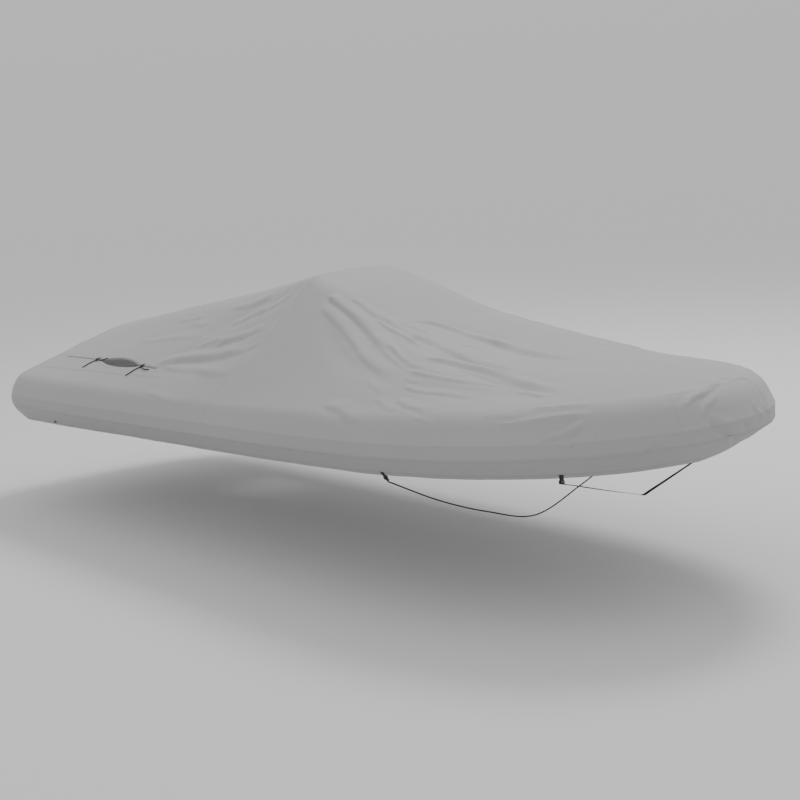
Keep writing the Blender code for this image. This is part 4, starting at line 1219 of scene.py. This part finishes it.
def make_ties(name, side, finish):
    """The knots at both ends of the slot's eye, the strands that hold them and their free tails."""
    radius = TIE_CORD * STRAND_SHARE
    for end, way in (("aft", -1), ("fore", 1)):
        along = way * (SLOT_HALF_LENGTH + TIE_REACH)
        base = slot_point(along, 0.0, side, 0.0)[0]
        ahead = unit(slot_point(along + TIE_PROBE, 0.0, side, 0.0)[0] - base)
        aside = unit(slot_point(along, TIE_PROBE, side, 0.0)[0] - base)
        up = np.cross(ahead, aside)
        up *= np.sign(up[2]) / np.linalg.norm(up)
        centre = base + up * (KNOT_SIZE[2] / 2 + KNOT_LIFT)
        parts = [knot_parts(centre, (ahead, aside, up), KNOT_SIZE, radius)]
        for reach in STRAND_REACHES:
            line = [base + up * STRAND_START + aside * reach * STRAND_ASIDE]
            for share, back, lift in STRAND_PLACES:
                line.append(slot_point(along - way * back, reach * share, side, lift)[0])
            strand = smooth_route(line, STRAND_POINTS)
            parts.append(tube_parts(strand, np.full(STRAND_POINTS, radius), STRAND_SIDES))
        mesh_from_parts(f"tie_knot_{end}_{name}", parts, finish, f"knot_{end}_{name}")
        for tail_end, tail, *measures in TIE_TAILS:
            if tail_end == end:
                make_tail(f"{end}_{tail}_{name}", along, *measures, side, finish)


def make_tail(name, knot_along, run, outboard, length, side, finish):
    """One free tail of a tie, lying on the cloth from its knot to its melted end."""
    reach = math.hypot(run, outboard)
    parts = np.linspace(TAIL_START / reach, 1.0, TAIL_BENDS)
    sway = TAIL_SWAY * np.sin(parts * math.pi * SWAY_TURNS)
    along = knot_along + run * parts - sway * outboard / reach
    line = slot_point(along, outboard * parts + sway * run / reach, side, TAIL_LIFT)
    line[0] += (line[0] - slot_point(knot_along + run * parts[0], 0.0, side, 0.0)[0]) * TAIL_PULL
    count = max(TAIL_POINTS, round(reach / TAIL_STEP))
    route = smooth_route(line, count)
    radii = rounded_radii(count, TIE_CORD / 2)
    make_cord(f"tie_tail_{name}", f"tail_{name}", finish, route, radii)


def hem_across(around, side):
    """Across value of the hem's edge, which rises and falls a little along the skirt."""
    places = [Vector((value * HEM_WAVE_SCALE, side * HEM_WAVE_SIDE, HEM_WAVE_PLACE)) for value in around]
    values = np.array([noise.noise(place) for place in places])
    ends = np.clip(np.minimum(around, OUTLINE_LENGTH - around) / HEM_WAVE_FADE, 0.0, 1.0)
    return 6.0 + HEM_WAVE * (values - HEM_WAVE_LEVEL) * ends


def hem_frame(x, side):
    """At a place on the side: the hem's edge, its outward normal, the way down the skirt and forward."""
    around = np.array([around_at_x(x)])
    edge_across = hem_across(around, side)
    edge = cloth(around, edge_across * side)[0]
    above = cloth(around, (edge_across - HEM_PROBE_ACROSS) * side)[0]
    ahead = cloth(around + HEM_PROBE_AROUND, edge_across * side)[0]
    down = unit(edge - above)
    forward = unit((ahead - edge) - down * ((ahead - edge) @ down))
    normal = unit(np.cross(forward, down))
    if normal[1] * side < 0.0:
        normal = -normal
    return edge, normal, down, forward


def bar_parts(centre, ways, size):
    """Corners and faces of one bar, its three ways given as unit vectors."""
    points = []
    for high in (-1, 1):
        for wide, deep in ((-1, -1), (1, -1), (1, 1), (-1, 1)):
            offset = ways[0] * wide * size[0] + ways[1] * deep * size[1] + ways[2] * high * size[2]
            points.append(centre + offset / 2)
    faces = [(3, 2, 1, 0), (4, 5, 6, 7), (0, 1, 5, 4), (1, 2, 6, 5), (2, 3, 7, 6), (3, 0, 4, 7)]
    return points, faces, [((0.0, 0.0),) * 4] * 6


def make_slider(name, corner, ways, finish):
    """A moulded slider: two cheeks and three bars, with eased edges."""
    forward, _, down = ways
    wide, thick, tall = SLIDER
    centre = corner + down * tall / 2
    parts = []
    for way in (-1, 1):
        place = centre + forward * way * (wide - SLIDER_CHEEK) / 2
        parts.append(bar_parts(place, ways, (SLIDER_CHEEK, thick, tall)))
    for way in (-1, 0, 1):
        place = centre + down * way * (tall - SLIDER_BAR) / 2
        parts.append(bar_parts(place, ways, (wide - SLIDER_CHEEK, thick * BAR_THIN, SLIDER_BAR)))
    made = mesh_from_parts(f"{name}_moulded", parts, finish, name)
    ease = made.modifiers.new("eased edges", "BEVEL")
    ease.width = SLIDER_EASE
    ease.segments = SLIDER_EASE_STEPS


def make_tab(kind, name, x, side, webbing, plastic):
    """A webbing tab sewn on the hem and folded round its slider; returns where the strap leaves that."""
    edge, normal, down, forward = hem_frame(x, side)
    lift = normal * (TAB_OUT + WEBBING_THICK / 2)
    behind = normal * -(TAB_BACK + WEBBING_THICK)
    line = [edge + down * drop + lift * out + behind * back for drop, out, back in TAB_PLACES]
    route = smooth_route(line, TAB_POINTS)
    parts = ribbon_parts(route, [forward * WEBBING / 2] * len(route), stitched=1.0)
    mesh_from_parts(f"webbing_tab_{kind}_{name}", [parts], webbing, f"tab_{kind}_{name}")
    corner = edge + down * TAB_BELOW + lift
    make_slider(f"slider_{kind}_{name}", corner, (forward, normal, down), plastic)
    return corner + down * SLIDER[2], down, forward


def make_bow_strap(webbing, plastic):
    """One strap from the starboard tab, under the stem's place, to the port tab."""
    legs = []
    for name, side in SIDES:
        start, down, forward = make_tab("bow", name, BOW_TAB_X, side, webbing, plastic)
        ahead = np.array(BOW_EYE) + np.array([0.0, side * BOW_EYE_HALF, 0.0]) - start
        leg = [start - down * SLIDER[2] * STRAP_TUCK, start + down * STRAP_LEAD]
        for part in STRAP_SHARES:
            sag = np.array([0.0, 0.0, -STRAP_SAG]) * math.sin(part * math.pi)
            leg.append(start + ahead * part + sag)
        legs.append((leg, forward))
    (starboard, from_way), (port, to_way) = legs
    bottom = np.array(BOW_EYE) - np.array([0.0, 0.0, BOW_EYE_DIP])
    route = smooth_route([*starboard, bottom, *port[::-1]], STRAP_POINTS)
    ahead = unit_rows(np.gradient(route, axis=0))
    share = smooth_step(np.linspace(*STRAP_TWIST, len(route)))[:, None]
    wanted = from_way * (1.0 - share) + to_way * share
    wanted -= ahead * (wanted * ahead).sum(1)[:, None]
    wanted *= (WEBBING / 2) / np.linalg.norm(wanted, axis=1)[:, None]
    mesh_from_parts("bow_strap_woven", [ribbon_parts(route, wanted)], webbing, "bow_strap")


def make_belly_cord(webbing, cord, plastic):
    """A cord from the starboard mid tab, under the hull's place, to the port mid tab."""
    tucks = []
    leads = []
    for name, side in SIDES:
        start, down, _ = make_tab("mid", name, MID_TAB_X, side, webbing, plastic)
        tucks.append(start - down * BELLY_TUCK)
        leads.append(start + down * BELLY_LEAD)
    starboard = [(x, -y, z) for x, y, z in BELLY_ROUTE]
    line = smooth_route([leads[0], *starboard, *BELLY_ROUTE[-2::-1], leads[1]], BELLY_BENDS)
    route = smooth_route([tucks[0], *line, tucks[1]], BELLY_POINTS)
    radii = np.full(len(route), BELLY_CORD / 2)
    make_cord("belly_cord_braided", "belly_cord", cord, route, radii)


def make_hem_knots(finish):
    """The knots of the hem's drawcord, one each side near the stern, with two short ends."""
    for name, side in SIDES:
        around = np.array([HEM_KNOT_AROUND, HEM_KNOT_AROUND + HEM_KNOT_PROBE])
        base, ahead = cloth(around, HEM_KNOT_ACROSS * side)
        forward = unit(ahead - base)
        outward = cloth_normals(around[:1], np.array([HEM_KNOT_ACROSS * side]))[0]
        along_skirt = np.cross(forward, outward)
        centre = base + outward * HEM_KNOT_SIZE[2] / 2
        ways = (forward, along_skirt, outward)
        parts = [knot_parts(centre, ways, HEM_KNOT_SIZE, HEM_CORD_RADIUS)]
        for way, drop in HEM_END_DROPS:
            line = [
                centre + forward * way * reach - along_skirt * side * drop * share - outward * sink
                for reach, share, sink in HEM_END_PLACES
            ]
            end = smooth_route(line, HEM_END_POINTS)
            parts.append(tube_parts(end, rounded_radii(HEM_END_POINTS, HEM_CORD_RADIUS), STRAND_SIDES))
        mesh_from_parts(f"drawcord_knot_{name}", parts, finish, f"hem_knot_{name}")


# ---------------------------------------------------------------- materials

def connect(tree, node, inputs):
    """Links each input to another node's output, or gives it a number or an opaque colour."""
    for socket, value in inputs.items():
        if isinstance(value, bpy.types.NodeSocket):
            tree.links.new(value, node.inputs[socket])
        elif isinstance(value, tuple):
            node.inputs[socket].default_value = (*value, 1.0)
        else:
            node.inputs[socket].default_value = value


def add_node(tree, kind, inputs=None, **settings):
    made = tree.nodes.new(kind)
    for name, value in settings.items():
        setattr(made, name, value)
    connect(tree, made, inputs or {})
    return made


def calculate(tree, operation, *values):
    """A Math node's output."""
    return add_node(tree, "ShaderNodeMath", dict(enumerate(values)), operation=operation).outputs[0]


def together(tree, operation, first, *others):
    """One operation over several values in turn."""
    for other in others:
        first = calculate(tree, operation, first, other)
    return first


def product(tree, *values):
    return together(tree, "MULTIPLY", *values)


def surface_place(tree, layer):
    """The two surface coordinates of a layer, in metres."""
    place = add_node(tree, "ShaderNodeUVMap", uv_map=layer)
    parts = add_node(tree, "ShaderNodeSeparateXYZ", {0: place.outputs[0]})
    return parts.outputs[0], parts.outputs[1]


def wave(tree, place, pitch):
    return calculate(tree, "SINE", product(tree, place, 2 * math.pi / pitch))


def cloud(tree, scale, detail=2.0, roughness=0.5):
    """Smooth noise through the object's own space."""
    place = add_node(tree, "ShaderNodeTexCoord").outputs["Object"]
    settings = {"Vector": place, "Scale": scale, "Detail": detail, "Roughness": roughness}
    return add_node(tree, "ShaderNodeTexNoise", settings).outputs["Fac"]


def remap(tree, value, low, high, to_low, to_high):
    settings = {"Value": value, "From Min": low, "From Max": high, "To Min": to_low, "To Max": to_high}
    return add_node(tree, "ShaderNodeMapRange", settings).outputs["Result"]


def spread(tree, noise_value, to_low, to_high):
    """Smooth noise stretched over a range; nearly all of it lies between 0.3 and 0.7."""
    return remap(tree, noise_value, 0.3, 0.7, to_low, to_high)


def blend_colours(tree, share, first, second):
    inputs = {"Factor": share, "A": first, "B": second}
    return add_node(tree, "ShaderNodeMix", inputs, data_type="RGBA").outputs["Result"]


def tinted(colour, share):
    return tuple(value * share for value in colour)


def bump(tree, height, distance, strength, below=None):
    settings = {"Height": height, "Distance": distance, "Strength": strength}
    if below is not None:
        settings["Normal"] = below
    return add_node(tree, "ShaderNodeBump", settings).outputs["Normal"]


def new_material(name):
    made = bpy.data.materials.new(name)
    made.use_nodes = True
    return made, made.node_tree, made.node_tree.nodes["Principled BSDF"]


def within(tree, value, centre, half):
    """1 where a value lies within half of the centre, 0 elsewhere."""
    return calculate(tree, "COMPARE", value, centre, half)


def dashes(tree, along, pitch, share):
    """1 over a share of each pitch, for the stitches of a row."""
    place = calculate(tree, "FRACT", calculate(tree, "DIVIDE", along, pitch))
    return calculate(tree, "LESS_THAN", place, share)


def cloth_material(name, colour):
    """Coated woven polyester: a fine plain weave, soft mottling, stitched seams and dust beside them."""
    made, tree, shader = new_material(name)
    warp, weft = surface_place(tree, "weave")
    threads = product(tree, wave(tree, warp, THREAD_PITCH), wave(tree, weft, THREAD_PITCH))
    mottle = cloud(tree, scale=26.0, detail=3.0)
    patches = spread(tree, cloud(tree, scale=0.9, detail=3.0), 0.975, 1.02)
    slubs = spread(tree, cloud(tree, scale=240.0, detail=1.0), -0.012, 0.012)
    tone = together(tree, "ADD", patches, spread(tree, mottle, -0.014, 0.014), slubs)
    tone = remap(tree, calculate(tree, "MULTIPLY_ADD", threads, 0.012, tone), 0.94, 1.06, 0.0, 1.0)
    woven_colour = blend_colours(tree, tone, tinted(colour, 0.94), tinted(colour, 1.06))

    along, apart = surface_place(tree, "seam")
    rows = [within(tree, apart, row, STITCH_HALF) for row in STITCH_ROWS]
    stitches = together(tree, "MAXIMUM", *rows)
    stitches = product(tree, stitches, dashes(tree, along, STITCH_PITCH, STITCH_SHARE))
    dust = remap(tree, apart, 0.0, 0.022, 0.05, 0.0)
    dusty = blend_colours(tree, dust, woven_colour, tinted(colour, 0.72))

    crumples = cloud(tree, scale=11.0, detail=4.0, roughness=0.55)
    crumpled = bump(tree, crumples, distance=0.004, strength=0.35)
    uneven = bump(tree, mottle, distance=0.0012, strength=0.30, below=crumpled)
    woven = bump(tree, threads, distance=0.00010, strength=0.5, below=uneven)
    sunk = product(tree, stitches, -1.0)
    connect(tree, shader, {
        "Base Color": blend_colours(tree, stitches, dusty, tinted(colour, 0.84)),
        "Roughness": spread(tree, mottle, 0.78, 0.88),
        "Normal": bump(tree, sunk, distance=0.0006, strength=0.6, below=woven),
        "Specular IOR Level": 0.30,
        "Sheen Weight": 0.10,
        "Sheen Roughness": 0.5,
    })
    return made


def cord_material():
    """Black braided polyester: two crossing families of strands."""
    made, tree, shader = new_material("braided_cord")
    along, turn = surface_place(tree, "weave")
    run = product(tree, along, 2 * math.pi / STRAND_PITCH)
    spin = product(tree, turn, 2 * math.pi * STRAND_TURNS)
    left = calculate(tree, "SINE", calculate(tree, "ADD", run, spin))
    right = calculate(tree, "SINE", calculate(tree, "SUBTRACT", run, spin))
    strands = calculate(tree, "MAXIMUM", left, right)
    fuzz = cloud(tree, scale=700.0)
    # the grooves between the strands are painted darker, as painted shade; the fuzz varies the tone at
    # random
    strand_painted_shade = remap(tree, strands, -0.4, 1.0, 0.25, 1.0)
    painted_shade_and_fuzz = product(tree, strand_painted_shade, spread(tree, fuzz, 0.7, 1.1))
    connect(tree, shader, {
        "Base Color": blend_colours(tree, painted_shade_and_fuzz, (0.004, 0.004, 0.005), (0.022, 0.022, 0.024)),
        "Roughness": spread(tree, fuzz, 0.62, 0.8),
        "Normal": bump(tree, strands, distance=0.0007, strength=0.8),
        "Sheen Weight": 0.15,
    })
    return made


def box_stitches(tree, along, place):
    """The stitched box and its cross where a tab, whose run starts at 1, is sewn on."""
    sewn = calculate(tree, "SUBTRACT", along, 1.0)
    offset = calculate(tree, "ABSOLUTE", place)
    rows = [within(tree, sewn, row, STITCH_HALF) for row in BOX_ROWS]
    side = within(tree, offset, BOX_SIDE, BOX_SIDE_HALF)
    slope = product(tree, calculate(tree, "SUBTRACT", sewn, BOX_MIDDLE), BOX_SLOPE)
    cross = within(tree, offset, calculate(tree, "ABSOLUTE", slope), STITCH_HALF)
    start, end = BOX_ENDS
    return product(
        tree,
        together(tree, "MAXIMUM", side, *rows, cross),
        calculate(tree, "GREATER_THAN", sewn, start),
        calculate(tree, "LESS_THAN", sewn, end),
        calculate(tree, "LESS_THAN", offset, BOX_EDGE),
        dashes(tree, sewn, BOX_PITCH, BOX_SHARE),
    )


def webbing_material():
    """Black woven webbing: lengthwise ribs, a chevron weave, and a stitched box where a tab is sewn on."""
    made, tree, shader = new_material("woven_webbing")
    along, place = surface_place(tree, "weave")
    ribs = wave(tree, place, RIB_PITCH)
    run = product(tree, along, 2 * math.pi / CHEVRON_PITCH)
    slant = calculate(tree, "ADD", run, product(tree, ribs, 1.2))
    relief = calculate(tree, "MULTIPLY_ADD", calculate(tree, "SINE", slant), 0.4, ribs)
    stitches = box_stitches(tree, along, place)
    fuzz = cloud(tree, scale=500.0)
    # the valleys between the ribs are painted darker, as painted shade; the fuzz varies the tone at random
    rib_painted_shade = remap(tree, relief, -1.2, 1.2, 0.3, 1.0)
    painted_shade_and_fuzz = product(tree, rib_painted_shade, spread(tree, fuzz, 0.75, 1.1))
    woven = blend_colours(tree, painted_shade_and_fuzz, (0.006, 0.006, 0.007), (0.026, 0.026, 0.028))
    height = calculate(tree, "MULTIPLY_ADD", stitches, 1.5, relief)
    connect(tree, shader, {
        "Base Color": blend_colours(tree, stitches, woven, (0.05, 0.05, 0.052)),
        "Roughness": spread(tree, fuzz, 0.6, 0.78),
        "Normal": bump(tree, height, distance=0.00035, strength=0.8),
    })
    return made


def plastic_material():
    """Black moulded acetal: satin, with a fine grain and lighter scuffs."""
    made, tree, shader = new_material("moulded_black")
    scuffs = cloud(tree, scale=190.0, detail=3.0)
    worn = remap(tree, scuffs, 0.55, 0.75, 0.0, 1.0)
    connect(tree, shader, {
        "Base Color": blend_colours(tree, worn, (0.012, 0.012, 0.013), (0.030, 0.030, 0.031)),
        "Roughness": spread(tree, scuffs, 0.34, 0.5),
        "Normal": bump(tree, cloud(tree, scale=1600.0), distance=0.0001, strength=0.4),
    })
    return made


# ---------------------------------------------------------------- stage, light and camera

def make_stage():
    """A plain pale floor, a soft sky that is paler overhead, and one large light above and to port."""
    place = (0.0, 0.0, GROUND_Z)
    bpy.ops.mesh.primitive_circle_add(
        vertices=FLOOR_CORNERS, radius=FLOOR_RADIUS, fill_type="NGON", location=place,
    )
    floor = bpy.context.object
    floor.name = "floor"
    finish, floor_tree, shader = new_material("pale_floor")
    tone = {"Base Color": (FLOOR_TONE,) * 3, "Roughness": 0.9, "Specular IOR Level": 0.1}
    connect(floor_tree, shader, tone)
    floor.data.materials.append(finish)

    world = bpy.data.worlds.new("soft_sky")
    world.use_nodes = True
    tree = world.node_tree
    direction = add_node(tree, "ShaderNodeTexCoord").outputs["Generated"]
    height = add_node(tree, "ShaderNodeSeparateXYZ", {"Vector": direction}).outputs["Z"]
    ramp = add_node(tree, "ShaderNodeValToRGB", {"Fac": height})
    ramp.color_ramp.interpolation = "EASE"
    horizon, overhead = ramp.color_ramp.elements
    horizon.color = (HORIZON_SHARE, HORIZON_SHARE, HORIZON_SHARE, 1.0)
    overhead.color = (1.0, 1.0, 1.0, 1.0)
    overhead.position = HORIZON_HEIGHT
    connect(tree, tree.nodes["Background"], {"Color": ramp.outputs["Color"], "Strength": SKY})
    bpy.context.scene.world = world

    key = bpy.data.lights.new("key", "AREA")
    key.shape = "DISK"
    key.size = KEY_SIZE
    key.energy = KEY_POWER
    lamp = bpy.data.objects.new("key", key)
    lamp.location = KEY_LIGHT
    lamp.rotation_mode = "QUATERNION"
    lamp.rotation_quaternion = (-Vector(KEY_LIGHT)).to_track_quat("-Z", "Y")
    bpy.context.collection.objects.link(lamp)


def make_camera():
    """The camera at the photograph's place and angle."""
    sine = math.sin(CAMERA_AZIMUTH)
    cosine = math.cos(CAMERA_AZIMUTH)
    level = Vector((cosine, sine, 0.0))
    ahead = Vector((-sine * math.cos(CAMERA_DOWN), cosine * math.cos(CAMERA_DOWN), -math.sin(CAMERA_DOWN)))
    above = level.cross(ahead)
    right = level * math.cos(CAMERA_ROLL) + above * math.sin(CAMERA_ROLL)
    up = above * math.cos(CAMERA_ROLL) - level * math.sin(CAMERA_ROLL)
    camera = bpy.data.objects.new("camera", bpy.data.cameras.new("camera"))
    camera.data.lens = CAMERA_LENS
    camera.data.sensor_width = CAMERA_SENSOR
    camera.data.clip_end = CAMERA_FAR
    turn = Matrix((right, up, -ahead)).transposed().to_4x4()
    camera.matrix_world = Matrix.Translation(CAMERA_PLACE) @ turn
    bpy.context.collection.objects.link(camera)
    bpy.context.scene.camera = camera


# ---------------------------------------------------------------- the whole cover

def finish_sheet(piece, node):
    """A cloth piece stands for its node."""
    settle(piece, node)


def make_cover():
    top = cloth_material("cover_cloth_woven", COVER_COLOUR)
    # a darker copy of the cloth for the band and skirt, as painted shade
    lower = cloth_material("skirt_cloth_woven_painted_shade", SKIRT_SHADED_COLOUR)
    cord = cord_material()
    webbing = webbing_material()
    plastic = plastic_material()
    finish_sheet(make_top_aft(top), "top_aft")
    finish_sheet(make_top_fore(top), "top_fore")
    finish_sheet(make_nose(top), "nose_panel")
    for name, side in SIDES:
        finish_sheet(make_skirt(name, side, lower), f"skirt_{name}")
        finish_sheet(make_slot_strip(name, side, top), f"slot_strip_{name}")
        make_ties(name, side, cord)
    make_bow_strap(webbing, plastic)
    make_belly_cord(webbing, cord, plastic)
    make_hem_knots(cord)


make_camera()
make_cover()
make_stage()
